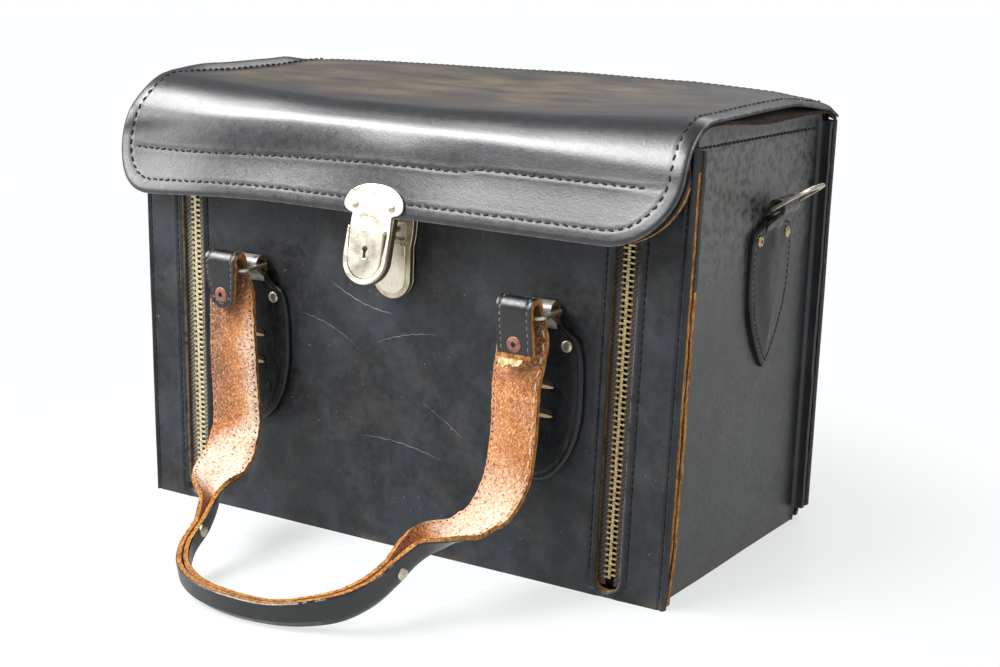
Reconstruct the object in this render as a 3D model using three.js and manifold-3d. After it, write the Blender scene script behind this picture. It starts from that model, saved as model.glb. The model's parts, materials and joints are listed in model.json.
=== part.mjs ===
// A drop-front leather camera case: stiff leather box, overhanging lid with a hasp lock,
// a front panel between two zips, a strap handle on the front and the back, and side rings.
// Millimetres, +Z up, front towards -Y, origin at the middle of the underside.
import * as THREE from 'three';
import { mergeVertices } from 'three/addons/utils/BufferGeometryUtils.js';
import Module from 'manifold-3d';

const wasm = await Module();
wasm.setup();

// Driving dimensions of the box
const caseWidth = 347;
const caseDepth = 180;
const panelHeight = 248;
const sideFlare = 7.2;
const frontLean = 10;
const leather = 3;
const seamGap = 0.3;
const frontLayerDepth = 12;
const cutOverrun = 4;

// Corner seams: the front and back leathers, a welt and the turned edge of the side leather
const flangeReach = 6.5;
const weltThickness = 3.8;
const frontFlangeStep = 3;
const backFlangeStep = 14;
const backFlangeFoot = 8;

// Front leathers and inner pieces
const frontTopStep = 8;
const boardThickness = 3;
const boardMargin = 3.5;

// Zips
const zipCentre = 144.6;
const windowWidth = 14.4;
const windowFoot = 4;
const tapeThickness = 0.8;
const tapeWidth = 11.1;
const tapeFoot = 6;
const chainWidth = 7.2;
const chainGap = 1.5;
const chainThickness = 3.2;
const spineWidth = 0.9;
const toothPitch = 3.1;
const toothThickness = 1.5;
const chainFoot = 10;
const innerChainStep = 4.5;
const outerChainStep = 2.5;

// Zip sliders and their pulls
const sliderWidth = 11.6;
const sliderLength = 13;
const sliderTopStep = 3.5;
const sliderTaper = 3.2;
const sliderPlate = 1.3;
const sliderClearance = 0.4;
const neckWidth = 0.8;
const neckLength = 2.6;
const archWidth = 2.4;
const archBar = 1.1;
const archRoom = 2.8;
const archLift = 2.4;
const pullWidth = 7.4;
const pullLength = 23;
const pullThickness = 1.2;
const pullBar = 1.2;
const pullEyeWidth = 3.8;
const pullEyeLength = 4.2;

// Lid: one bent sheet of two leathers, from the back edge over the front to the flap's lip
const lidWidth = 374;
const lidRise = 4.6;
const lidRearTop = 254;
const lidRearPast = 1.5;
const lidBendRadius = 24;
const flapDrop = 58;
const flapOverhang = 16;
const flapLean = 16.2;
const lidOuterLeather = 2.6;
const lidLiningLeather = 1.8;
const flapCornerRadius = 40;
const hingePast = 1;
const lidSeat = 0.9;
const liningInset = 1.2;
const bendSteps = 7;

// Hasp on the flap, with the sliding button in it
const lockCentre = 4;
const haspHeadRadius = 19.8;
const haspHeadCentre = -2;
const haspHeadRise = 19;
const haspHeadWidest = 5;
const haspHeadLow = 1.4;
const haspHeadTurn = 6;
const haspNeckWidth = 26.6;
const haspNeckPlace = -9;
const haspWidth = 29;
const haspFoot = -38.4;
const haspPlate = 1.2;
const haspDepth = 5.4;
const haspCaseTop = -0.8;
const haspRim = 2.9;
const buttonTop = -8.2;
const buttonProud = 2.4;
const buttonLip = 0.4;
const buttonBody = 1;
const buttonClearance = 0.4;
const keyholeRadius = 1.6;
const keyholePlace = -19;
const keySlotWidth = 1.5;
const keySlotLength = 5;

// Receiver on the front panel
const receiverWidth = 25;
const receiverHeadWidth = 29;
const receiverCentre = 2.5;
const receiverFootDrop = 50;
const receiverWaistDrop = 20;
const receiverTopDrop = 4;
const receiverDepth = 5.6;
const recessWidth = 18;
const recessFootDrop = 16;
const recessHeight = 9;
const recessDepth = 3.5;
const studRadius = 1.2;
const studHole = 1.5;
const studProud = 0.4;
const studHead = 1;
const studHeadRadius = 2;

// Flat steel rings of the handles and of the sides
const ringWidth = 31;
const ringDepth = 24;
const ringCorner = 6;
const sideRingWidth = 35;
const sideRingDepth = 26;
const sideRingCorner = 13;
const ringBar = 4.5;
const ringThickness = 2;
const ringNearCorner = 5;
const ringNearRound = 1;

// Chapes: leather patches whose neck loops round a ring
const chapeLeather = 3;
const loopLeather = 2.5;
const loopRoom = 0.35;
const loopOffset = 5.7;
const neckWidthOfChape = 20;
const chapeWidth = 54;
const chapeFootDrop = 96;
const chapeWidestDrop = 50;
const chapeShoulderDrop = 26;
const chapeNeckDrop = 8;
const chapeSlotWidth = 17;
const chapeSlotHeight = 2.2;
const chapeSlotDrops = [57, 41];
const chapeShoulderShare = 0.86;
const rampBulgeShare = 0.8;
const rampDropShare = 0.6;
const frontRingDrop = 100;
const ringSpacing = 196;

// Side chapes are longer, narrower and padded out at the loop
const sideChapeCentre = 19.2;
const sideChapeWidth = 51;
const sideChapeFootDrop = 92;
const sideChapeWidestDrop = 38;
const sideChapeShoulderDrop = 21;
const sideChapeNeckDrop = 11;
const sideRingDrop = 53;
const sideLoopOffset = 8;
const sideRingPitch = 33;

// Rivets of the chapes go through to a steel bar inside the panel
const rivetHeadRadius = 3.2;
const rivetHeadHeight = 1.2;
const headEdgeShare = 1 / 3;
const rivetShank = 1.2;
const rivetHole = 1.5;
const chapeRivetSpacing = 33;
const chapeRivetDrop = 19;
const sideRivetSpacing = 35;
const sideRivetDrop = 17.8;
const backingHeight = 8;
const backingThickness = 1;
const backingMargin = 4;
const haspRivetSpacing = 24.4;
const haspRivetPlace = 4.8;
const haspRivetRadius = 2.1;

// Strap handles
const strapWidth = 33;
const strapLeather = 3;
const wrapRoom = 1.1;
const tabWidth = 21;
const tabLength = 27;
const gripWidth = 7.2;
const gripHeight = 12.8;
const handleReach = 113;
const handleDrop = 147.1;
const strapSteps = 34;
const wrapSteps = 6;
const shoulderShare = 0.2;
const tabRivetRadius = 4.2;
const tabRivetPlace = 16;
const gripRivetRadius = 3;
const gripRivetRow = 8;
const tabRivetSeat = 0.4;
const gripRivetSeat = 0.8;

// The tab at each end of a strap, from its point up to the ring: drop and width, as shares
const tabShares = [
  [1, 0.30],
  [0.96, 0.54],
  [0.88, 0.72],
  [0.75, 0.83],
  [0.59, 0.88],
  [0.42, 0.94],
];

// Half the handle's route from a ring to the middle of the grip, as shares of half the ring
// spacing, of the reach and of the drop, with how far the strap is folded into the grip
const strapRouteShares = [
  [0.985, -0.039, 0.261, 0],
  [0.970, -0.039, 0.415, 0],
  [0.955, -0.030, 0.515, 0],
  [0.935, 0.011, 0.622, 0],
  [0.905, 0.110, 0.716, 0],
  [0.856, 0.243, 0.770, 0.05],
  [0.786, 0.360, 0.797, 0.40],
  [0.716, 0.468, 0.830, 0.85],
  [0.682, 0.594, 0.884, 1],
  [0.647, 0.728, 0.930, 1],
  [0.557, 0.845, 0.967, 1],
  [0.418, 0.924, 0.987, 1],
  [0.239, 0.978, 0.997, 1],
  [0, 1, 1, 1],
];

// Colours and finishes
const finishes = {
  blackLeather: { color: 0x1c1c1f, roughness: 0.45, metalness: 0 },
  lidLeather: { color: 0x24211f, roughness: 0.4, metalness: 0 },
  rawLeather: { color: 0xb07a3e, roughness: 0.9, metalness: 0 },
  suede: { color: 0xb5662f, roughness: 0.95, metalness: 0 },
  board: { color: 0x6b5134, roughness: 0.9, metalness: 0 },
  tape: { color: 0x2c211d, roughness: 0.9, metalness: 0 },
  brass: { color: 0xb39a63, roughness: 0.4, metalness: 1 },
  nickel: { color: 0xd6cfbc, roughness: 0.3, metalness: 1 },
  steel: { color: 0xb0aca2, roughness: 0.35, metalness: 1 },
  copper: { color: 0xb4634a, roughness: 0.45, metalness: 1 },
};

// Sizes that follow from the ones above
const frontTop = lidRearTop - frontTopStep;
const frontFlangeTop = frontTop - frontFlangeStep;
const backFlangeTop = lidRearTop - backFlangeStep;
const sliderTop = frontTop - sliderTopStep;
const outerChainTop = sliderTop - outerChainStep;
const innerChainTop = sliderTop - sliderLength - innerChainStep;
const flapLipHeight = lidRearTop - flapDrop;
const receiverFoot = flapLipHeight - receiverFootDrop;
const receiverWaist = flapLipHeight - receiverWaistDrop;
const receiverTop = flapLipHeight - receiverTopDrop;
const recessFoot = flapLipHeight - recessFootDrop;
const frontRingHeight = lidRearTop - frontRingDrop;
const sideRingHeight = lidRearTop - sideRingDrop;
const chapeRivetHeight = frontRingHeight - chapeRivetDrop;
const sideRivetHeight = sideRingHeight - sideRivetDrop;
const halfWidth = caseWidth / 2;
const halfDepth = caseDepth / 2;
const flangeEdge = halfWidth + flangeReach;
const innerFront = -halfDepth + leather;
const weltFront = innerFront + seamGap;
const sideFlangeFront = weltFront + weltThickness + seamGap;
const lidSlope = lidRise / (2 * halfDepth);
const lidThickness = lidOuterLeather + seamGap + lidLiningLeather;
const hingeY = halfDepth + hingePast;
const hingeZ = lidRearTop - lidThickness / 2;
const lidRearReach = Math.hypot(lidThickness / 2, lidRearPast - hingePast);
const flapAngle = THREE.MathUtils.degToRad(flapLean);
const flapLipY = -halfDepth - flapOverhang;
const wrapRadius = ringBar / 2 + wrapRoom + strapLeather / 2;
const ringReach = ringDepth - ringBar;
const shankPastHead = rivetHeadHeight * headEdgeShare;

// Moves a point of the upright box to its place in the leaning one: the sides flare
// outwards and the front leans back as they rise, and the back stays upright
function leanPoint(x, y, z) {
  const rise = z / panelHeight;
  const frontLayer = -halfDepth + frontLayerDepth;
  const towardsFront = THREE.MathUtils.clamp((halfDepth - y) / (halfDepth - frontLayer), 0, 1);
  return new THREE.Vector3(
    x * (1 + (rise * sideFlare) / halfWidth),
    y + rise * frontLean * towardsFront,
    z,
  );
}

function lean(geometry) {
  const place = geometry.getAttribute('position');
  for (let i = 0; i < place.count; i += 1) {
    const moved = leanPoint(place.getX(i), place.getY(i), place.getZ(i));
    place.setXYZ(i, moved.x, moved.y, moved.z);
  }
  return geometry;
}

function toSolid(geometry) {
  const bare = new THREE.BufferGeometry();
  bare.setAttribute('position', geometry.getAttribute('position').clone());
  if (geometry.index) bare.setIndex(geometry.index.clone());
  const merged = mergeVertices(bare, 1e-5);
  return new wasm.Manifold(new wasm.Mesh({
    numProp: 3,
    vertProperties: new Float32Array(merged.getAttribute('position').array),
    triVerts: new Uint32Array(merged.index.array),
  }));
}

function toGeometry(solid) {
  const mesh = solid.getMesh();
  const geometry = new THREE.BufferGeometry();
  geometry.setAttribute('position', new THREE.BufferAttribute(new Float32Array(mesh.vertProperties), 3));
  geometry.setIndex(new THREE.BufferAttribute(new Uint32Array(mesh.triVerts), 1));
  return geometry;
}

function join(...geometries) {
  let solid = toSolid(geometries[0]);
  for (const other of geometries.slice(1)) solid = solid.add(toSolid(other));
  return toGeometry(solid);
}

function cut(geometry, ...tools) {
  let solid = toSolid(geometry);
  for (const tool of tools) solid = solid.subtract(toSolid(tool));
  return toGeometry(solid);
}

function box(x0, x1, y0, y1, z0, z1) {
  const geometry = new THREE.BoxGeometry(x1 - x0, y1 - y0, z1 - z0);
  return geometry.translate((x0 + x1) / 2, (y0 + y1) / 2, (z0 + z1) / 2);
}

// Extrudes an outline drawn in X and Z along Y
function extrudeY(shape, y0, y1, steps = 6) {
  const options = { depth: y1 - y0, bevelEnabled: false, curveSegments: steps };
  const geometry = new THREE.ExtrudeGeometry(shape, options);
  return geometry.rotateX(Math.PI / 2).translate(0, y1, 0);
}

// Extrudes an outline drawn in Y and Z along X
function extrudeX(shape, x0, x1, steps = 6) {
  const options = { depth: x1 - x0, bevelEnabled: false, curveSegments: steps };
  const geometry = new THREE.ExtrudeGeometry(shape, options);
  const toX = new THREE.Matrix4().makeBasis(
    new THREE.Vector3(0, 1, 0),
    new THREE.Vector3(0, 0, 1),
    new THREE.Vector3(1, 0, 0),
  );
  return geometry.applyMatrix4(toX).translate(x0, 0, 0);
}

function rodY(radius, x, z, y0, y1, sides = 8) {
  const geometry = new THREE.CylinderGeometry(radius, radius, y1 - y0, sides);
  return geometry.translate(x, (y0 + y1) / 2, z);
}

function rodX(radius, y, z, x0, x1, sides = 8) {
  const geometry = new THREE.CylinderGeometry(radius, radius, x1 - x0, sides);
  return geometry.rotateZ(Math.PI / 2).translate((x0 + x1) / 2, y, z);
}

function polygon(points) {
  return new THREE.Shape(points.map(([a, b]) => new THREE.Vector2(a, b)));
}

function mirrorX(geometry) {
  const solid = toSolid(geometry);
  return toGeometry(solid.mirror([1, 0, 0]));
}

function piece(name, geometry, finish) {
  const mesh = new THREE.Mesh(geometry, new THREE.MeshStandardMaterial(finish));
  mesh.name = name;
  return mesh;
}

// A left and a right copy of something drawn on the right side
function pair(group, makeName, geometry, finish) {
  group.add(piece(makeName('right'), geometry, finish));
  group.add(piece(makeName('left'), mirrorX(geometry), finish));
}

// Height of the lid's underside over the box, which the side panels follow
function lidUnderside(y) {
  return lidRearTop - lidThickness + (halfDepth - y) * lidSlope;
}

// Rivet pairs: domed heads outside, shanks through the leathers, one steel bar inside
function domedHead(radius, height) {
  const steps = 2;
  const profile = [new THREE.Vector2(0, 0), new THREE.Vector2(radius, 0)];
  for (let i = 0; i <= steps; i += 1) {
    const turn = (i / steps) * (Math.PI / 2);
    const rise = THREE.MathUtils.lerp(height * headEdgeShare, height, Math.sin(turn));
    const across = i === steps ? 0 : radius * Math.cos(turn);
    profile.push(new THREE.Vector2(across, rise));
  }
  return new THREE.LatheGeometry(profile, 10);
}

function rivetPairAlongX(centre, spacing, height, face, inside, radius = rivetHeadRadius) {
  const barBack = inside + backingThickness;
  const reach = spacing / 2 + backingMargin;
  const parts = [box(
    centre - reach,
    centre + reach,
    inside,
    barBack,
    height - backingHeight / 2,
    height + backingHeight / 2,
  )];
  for (const side of [-1, 1]) {
    const x = centre + (side * spacing) / 2;
    const head = domedHead(radius, rivetHeadHeight).rotateX(Math.PI);
    parts.push(head.translate(x, face, height));
    parts.push(rodY(rivetShank, x, height, face - shankPastHead, barBack - backingThickness / 2));
  }
  return join(...parts);
}

function rivetHolesAlongX(centre, spacing, height, y0, y1) {
  return [-1, 1].map((side) => rodY(rivetHole, centre + (side * spacing) / 2, height, y0, y1));
}

// Case body: base, back, sides, front strips and corner seams
function basePanel() {
  const edge = halfWidth - leather - seamGap;
  const end = halfDepth - leather - seamGap;
  return lean(box(-edge, edge, -end, end, 0, leather));
}

function baseBoard() {
  const edge = halfWidth - leather - boardMargin;
  const end = -sideFlangeFront - leather;
  const foot = leather + seamGap;
  return lean(box(-edge, edge, -end, end, foot, foot + boardThickness));
}

function backPanel() {
  const top = hingeZ - lidRearReach - seamGap;
  const sheet = box(-halfWidth, halfWidth, halfDepth - leather, halfDepth, 0, top);
  const flanges = box(
    -flangeEdge,
    flangeEdge,
    halfDepth - leather,
    halfDepth,
    backFlangeFoot,
    backFlangeTop,
  );
  const whole = join(sheet, flanges);
  const holes = [];
  for (const side of [-1, 1]) {
    const centre = (side * ringSpacing) / 2;
    const from = halfDepth - leather - cutOverrun;
    const to = halfDepth + cutOverrun;
    holes.push(...rivetHolesAlongX(centre, chapeRivetSpacing, chapeRivetHeight, from, to));
  }
  return lean(cut(whole, ...holes));
}

function sidePanel() {
  const front = sideFlangeFront;
  const back = -sideFlangeFront;
  const inner = halfWidth - leather;
  const sheet = extrudeX(polygon([
    [front, 0],
    [back, 0],
    [back, lidUnderside(back) - lidSeat],
    [front, lidUnderside(front) - lidSeat],
  ]), inner, halfWidth);
  const frontFlange = box(inner, flangeEdge, front, front + leather, 0, frontFlangeTop);
  const backFlange = box(inner, flangeEdge, back - leather, back, backFlangeFoot, backFlangeTop);
  const holes = [-1, 1].map((side) => rodX(
    rivetHole,
    sideChapeCentre + (side * sideRivetSpacing) / 2,
    sideRivetHeight,
    inner - cutOverrun,
    halfWidth + cutOverrun,
  ));
  return lean(cut(join(sheet, frontFlange, backFlange), ...holes));
}

function frontStrip() {
  const foot = windowFoot;
  const half = windowWidth / 2;
  const shape = new THREE.Shape();
  shape.moveTo(zipCentre + seamGap / 2, 0);
  shape.lineTo(flangeEdge, 0);
  shape.lineTo(flangeEdge, frontTop);
  shape.lineTo(zipCentre + half, frontTop);
  shape.lineTo(zipCentre + half, foot + half);
  shape.quadraticCurveTo(zipCentre + half, foot, zipCentre + seamGap / 2, foot);
  return lean(extrudeY(shape, -halfDepth, innerFront));
}

function cornerWelt(front, foot, top) {
  const y0 = front ? weltFront : -weltFront - weltThickness;
  return lean(box(halfWidth - leather, flangeEdge, y0, y0 + weltThickness, foot, top));
}

// Zips: a tape and a comb of teeth on each side of the centre line
function zipTape(side, top) {
  const inner = chainWidth / 2 + seamGap;
  const near = zipCentre + side * inner;
  const far = zipCentre + side * (inner + tapeWidth);
  const y0 = innerFront + seamGap;
  return lean(box(Math.min(near, far), Math.max(near, far), y0, y0 + tapeThickness, tapeFoot, top));
}

function zipTeeth(side, top) {
  const root = (side * chainWidth) / 2;
  const spine = root - side * spineWidth;
  const tip = (side * chainGap) / 2;
  const points = [[zipCentre + root, chainFoot]];
  for (let z = chainFoot; z + toothThickness <= top; z += toothPitch) {
    points.push([zipCentre + (z === chainFoot ? tip : spine), z]);
    if (z !== chainFoot) points.push([zipCentre + tip, z]);
    points.push([zipCentre + tip, z + toothThickness]);
    points.push([zipCentre + spine, z + toothThickness]);
  }
  points.push([zipCentre + root, points[points.length - 1][1]]);
  const middle = innerFront + seamGap + tapeThickness / 2;
  return lean(extrudeY(polygon(points), middle - chainThickness / 2, middle + chainThickness / 2));
}

function zipSlider() {
  const middle = innerFront + seamGap + tapeThickness / 2;
  const plateBack = middle - chainThickness / 2 - sliderClearance;
  const plateFront = plateBack - sliderPlate;
  const rearFront = middle + chainThickness / 2 + sliderClearance;
  const foot = sliderTop - sliderLength;
  const half = sliderWidth / 2;
  const plate = polygon([
    [zipCentre - half + sliderTaper / 2, foot],
    [zipCentre + half - sliderTaper / 2, foot],
    [zipCentre + half, sliderTop - sliderTaper],
    [zipCentre + half - sliderTaper, sliderTop],
    [zipCentre - half + sliderTaper, sliderTop],
    [zipCentre - half, sliderTop - sliderTaper],
  ]);
  const neck = box(
    zipCentre - neckWidth / 2,
    zipCentre + neckWidth / 2,
    plateBack - sliderPlate / 2,
    rearFront + sliderPlate / 2,
    sliderTop - neckLength,
    sliderTop,
  );
  const archFoot = foot + (sliderLength - archRoom) / 2 - archBar;
  const archTop = archFoot + archRoom + 2 * archBar;
  const arch = cut(
    box(
      zipCentre - archWidth / 2,
      zipCentre + archWidth / 2,
      plateFront - archLift - archBar,
      plateFront + sliderPlate / 2,
      archFoot,
      archTop,
    ),
    box(
      zipCentre - archWidth,
      zipCentre + archWidth,
      plateFront - archLift,
      plateFront,
      archFoot + archBar,
      archTop - archBar,
    ),
  );
  return lean(join(
    extrudeY(plate, plateFront, plateBack),
    extrudeY(plate, rearFront, rearFront + sliderPlate),
    neck,
    arch,
  ));
}

function pullPlace() {
  const middle = innerFront + seamGap + tapeThickness / 2;
  const plateFront = middle - chainThickness / 2 - sliderClearance - sliderPlate;
  return { y: plateFront - archLift / 2, z: sliderTop - sliderLength / 2 };
}

function zipPull() {
  const { y, z } = pullPlace();
  const top = z + pullBar / 2;
  const foot = top - pullLength;
  const half = pullWidth / 2;
  const shape = new THREE.Shape();
  shape.moveTo(zipCentre - half, top);
  shape.lineTo(zipCentre - half, foot + half);
  shape.absarc(zipCentre, foot + half, half, Math.PI, 2 * Math.PI, false);
  shape.lineTo(zipCentre + half, top);
  const eye = box(
    zipCentre - pullEyeWidth / 2,
    zipCentre + pullEyeWidth / 2,
    y - pullThickness,
    y + pullThickness,
    top - pullBar - pullEyeLength,
    top - pullBar,
  );
  return lean(cut(extrudeY(shape, y - pullThickness / 2, y + pullThickness / 2), eye));
}

// Front panel: everything between the zips, hinged along its foot
function frontPanel() {
  const half = windowWidth / 2;
  const edge = zipCentre - seamGap / 2;
  const shape = new THREE.Shape();
  shape.moveTo(-edge, 0);
  shape.lineTo(edge, 0);
  shape.lineTo(edge, windowFoot);
  shape.quadraticCurveTo(zipCentre - half, windowFoot, zipCentre - half, windowFoot + half);
  shape.lineTo(zipCentre - half, frontTop);
  shape.lineTo(-zipCentre + half, frontTop);
  shape.lineTo(-zipCentre + half, windowFoot + half);
  shape.quadraticCurveTo(-zipCentre + half, windowFoot, -edge, windowFoot);
  const holes = [];
  for (const side of [-1, 1]) {
    const centre = (side * ringSpacing) / 2;
    const from = -halfDepth - cutOverrun;
    const to = innerFront + cutOverrun;
    holes.push(...rivetHolesAlongX(centre, chapeRivetSpacing, chapeRivetHeight, from, to));
  }
  return lean(cut(extrudeY(shape, -halfDepth, innerFront), ...holes));
}

// A chape drawn upright on a wall whose face is at y = 0 and that faces -Y
function chapeOutline(sizes) {
  const neck = sizes.neckWidth / 2;
  const half = sizes.width / 2;
  const shape = new THREE.Shape();
  shape.moveTo(-neck, sizes.ringHeight);
  shape.lineTo(-neck, sizes.neckFoot);
  shape.quadraticCurveTo(-half * chapeShoulderShare, sizes.shoulder, -half, sizes.widest);
  shape.bezierCurveTo(
    -half,
    THREE.MathUtils.lerp(sizes.widest, sizes.foot, sizes.fullShare),
    -half * sizes.tipShare,
    sizes.foot,
    0,
    sizes.foot,
  );
  shape.bezierCurveTo(
    half * sizes.tipShare,
    sizes.foot,
    half,
    THREE.MathUtils.lerp(sizes.widest, sizes.foot, sizes.fullShare),
    half,
    sizes.widest,
  );
  shape.quadraticCurveTo(half * chapeShoulderShare, sizes.shoulder, neck, sizes.neckFoot);
  shape.lineTo(neck, sizes.ringHeight);
  return shape;
}

function chape(sizes) {
  const inner = ringBar / 2 + loopRoom;
  const outer = inner + loopLeather;
  const back = -seamGap;
  const front = back - chapeLeather;
  const neck = sizes.neckWidth / 2;
  const patch = extrudeY(chapeOutline(sizes), front, back, 5);
  const loop = rodX(outer, -sizes.loopOffset, sizes.ringHeight, -neck, neck, 16);
  const ramp = extrudeX(polygon([
    [back - chapeLeather / 2, sizes.neckFoot],
    [front, sizes.neckFoot],
    [-sizes.loopOffset - outer * rampBulgeShare, sizes.ringHeight - outer * rampDropShare],
    [-sizes.loopOffset, sizes.ringHeight],
    [back - chapeLeather / 2, sizes.ringHeight],
  ]), -neck, neck);
  const bore = rodX(inner, -sizes.loopOffset, sizes.ringHeight, -ringWidth, ringWidth, 16);
  const holes = rivetHolesAlongX(0, sizes.rivetSpacing, sizes.rivetHeight, front - cutOverrun, cutOverrun);
  const slots = sizes.slots.map((z) => box(
    -chapeSlotWidth / 2,
    chapeSlotWidth / 2,
    front - cutOverrun,
    cutOverrun,
    z - chapeSlotHeight / 2,
    z + chapeSlotHeight / 2,
  ));
  return cut(join(patch, loop, ramp), bore, ...holes, ...slots);
}

const handleChape = {
  neckWidth: neckWidthOfChape,
  width: chapeWidth,
  foot: frontRingHeight - chapeFootDrop,
  widest: frontRingHeight - chapeWidestDrop,
  shoulder: frontRingHeight - chapeShoulderDrop,
  neckFoot: frontRingHeight - chapeNeckDrop,
  ringHeight: frontRingHeight,
  loopOffset,
  rivetSpacing: chapeRivetSpacing,
  rivetHeight: chapeRivetHeight,
  slots: chapeSlotDrops.map((drop) => frontRingHeight - drop),
  fullShare: 0.55,
  tipShare: 0.5,
};

const sideChape = {
  neckWidth: neckWidthOfChape,
  width: sideChapeWidth,
  foot: sideRingHeight - sideChapeFootDrop,
  widest: sideRingHeight - sideChapeWidestDrop,
  shoulder: sideRingHeight - sideChapeShoulderDrop,
  neckFoot: sideRingHeight - sideChapeNeckDrop,
  ringHeight: sideRingHeight,
  loopOffset: sideLoopOffset,
  rivetSpacing: sideRivetSpacing,
  rivetHeight: sideRivetHeight,
  slots: [],
  fullShare: 0.5,
  tipShare: 0.12,
};

function chapeRivets(sizes) {
  const face = -2 * seamGap - chapeLeather;
  const inside = leather + seamGap;
  return rivetPairAlongX(0, sizes.rivetSpacing, sizes.rivetHeight, face, inside);
}

// Puts something drawn on a wall at y = 0 onto the front, the back or a side of the box
function onFront(geometry, x) {
  return lean(geometry.translate(x, -halfDepth, 0));
}

function onBack(geometry, x) {
  return lean(geometry.rotateZ(Math.PI).translate(x, halfDepth, 0));
}

function onRightSide(geometry) {
  return lean(geometry.rotateZ(Math.PI / 2).translate(halfWidth, sideChapeCentre, 0));
}

// Flat ring with one bar along X at the origin and the other at -Y
function roundedOutline(shape, half, low, high, farRound, nearRound) {
  shape.moveTo(-half + farRound, low);
  shape.lineTo(half - farRound, low);
  shape.absarc(half - farRound, low + farRound, farRound, -Math.PI / 2, 0, false);
  shape.lineTo(half, high - nearRound);
  shape.absarc(half - nearRound, high - nearRound, nearRound, 0, Math.PI / 2, false);
  shape.lineTo(-half + nearRound, high);
  shape.absarc(-half + nearRound, high - nearRound, nearRound, Math.PI / 2, Math.PI, false);
  shape.lineTo(-half, low + farRound);
  shape.absarc(-half + farRound, low + farRound, farRound, Math.PI, 1.5 * Math.PI, false);
  return shape;
}

function flatRing(width, depth, corner) {
  const near = ringBar / 2;
  const far = near - depth;
  const outline = roundedOutline(new THREE.Shape(), width / 2, far, near, corner, ringNearCorner);
  outline.holes.push(roundedOutline(
    new THREE.Path(),
    width / 2 - ringBar,
    far + ringBar,
    near - ringBar,
    corner - ringBar,
    ringNearRound,
  ));
  const options = { depth: ringThickness, bevelEnabled: false, curveSegments: 3 };
  return new THREE.ExtrudeGeometry(outline, options).translate(0, 0, -ringThickness / 2);
}

// Where the rings' near bars run through the chapes, in the leaning box
const frontRingPlace = leanPoint(ringSpacing / 2, -halfDepth - loopOffset, frontRingHeight);
const rearRingPlace = leanPoint(ringSpacing / 2, halfDepth + loopOffset, frontRingHeight);
const sideRingPlace = leanPoint(halfWidth + sideLoopOffset, sideChapeCentre, sideRingHeight);
const frontBarY = frontRingPlace.y - ringReach;
const rearBarY = rearRingPlace.y + ringReach;

function handleRing(place, turn) {
  return flatRing(ringWidth, ringDepth, ringCorner).rotateZ(turn).translate(place.x, place.y, place.z);
}

function sideRing() {
  const ring = flatRing(sideRingWidth, sideRingDepth, sideRingCorner).rotateZ(Math.PI / 2);
  ring.rotateY(-THREE.MathUtils.degToRad(sideRingPitch));
  return ring.translate(sideRingPlace.x, sideRingPlace.y, sideRingPlace.z);
}

// Lid: the sheet between two depths below its outer face, from the back edge to the lip
function lidSection(outer, inner, lipInset) {
  const along = new THREE.Vector2(-1, lidSlope).normalize();
  const down = new THREE.Vector2(-Math.sin(flapAngle), -Math.cos(flapAngle));
  const rear = new THREE.Vector2(
    halfDepth + lidRearPast,
    lidRearTop - lidRearPast * lidSlope,
  );
  const lip = new THREE.Vector2(flapLipY, flapLipHeight).addScaledVector(down, -lipInset);
  const gap = lip.clone().sub(rear);
  const toCorner = (gap.x * down.y - gap.y * down.x) / (along.x * down.y - along.y * down.x);
  const corner = rear.clone().addScaledVector(along, toCorner);
  const bend = Math.acos(along.dot(down));
  const start = corner.clone().addScaledVector(along, -lidBendRadius * Math.tan(bend / 2));
  const inwards = (d) => new THREE.Vector2(-d.y, d.x);
  const centre = start.clone().addScaledVector(inwards(along), lidBendRadius);
  const line = (depth) => {
    const points = [rear.clone().addScaledVector(inwards(along), depth)];
    for (let i = 0; i <= bendSteps; i += 1) {
      const normal = inwards(along).rotateAround(new THREE.Vector2(), (bend * i) / bendSteps);
      points.push(centre.clone().addScaledVector(normal, depth - lidBendRadius));
    }
    points.push(lip.clone().addScaledVector(inwards(down), depth));
    return points;
  };
  return new THREE.Shape([...line(outer), ...line(inner).reverse()]);
}

// The flap's lower corners are rounded, so the sheet is trimmed by its front outline
function lidSheet(outer, inner, inset) {
  const half = lidWidth / 2 - inset;
  const sheet = extrudeX(lidSection(outer, inner, inset), -half, half);
  const foot = flapLipHeight - cutOverrun;
  const low = flapLipHeight - lidThickness * Math.sin(flapAngle) + inset * Math.cos(flapAngle);
  const round = flapCornerRadius - inset;
  const side = lidBendRadius + lidRearTop;
  const corner = new THREE.Shape();
  corner.moveTo(half + cutOverrun, foot - cutOverrun);
  corner.lineTo(half + cutOverrun, low + round);
  corner.lineTo(half, low + round);
  corner.absarc(half - round, low + round, round, 0, -Math.PI / 2, true);
  corner.lineTo(half - round, foot - cutOverrun);
  const tool = extrudeY(corner, -side, 0, 8);
  return cut(sheet, tool, mirrorX(tool));
}

// Hasp: drawn upright with z = 0 at the flap's lip and y = 0 on the flap's face
function onFlap(geometry) {
  return geometry.rotateX(-flapAngle).translate(lockCentre, flapLipY, flapLipHeight);
}

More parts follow.
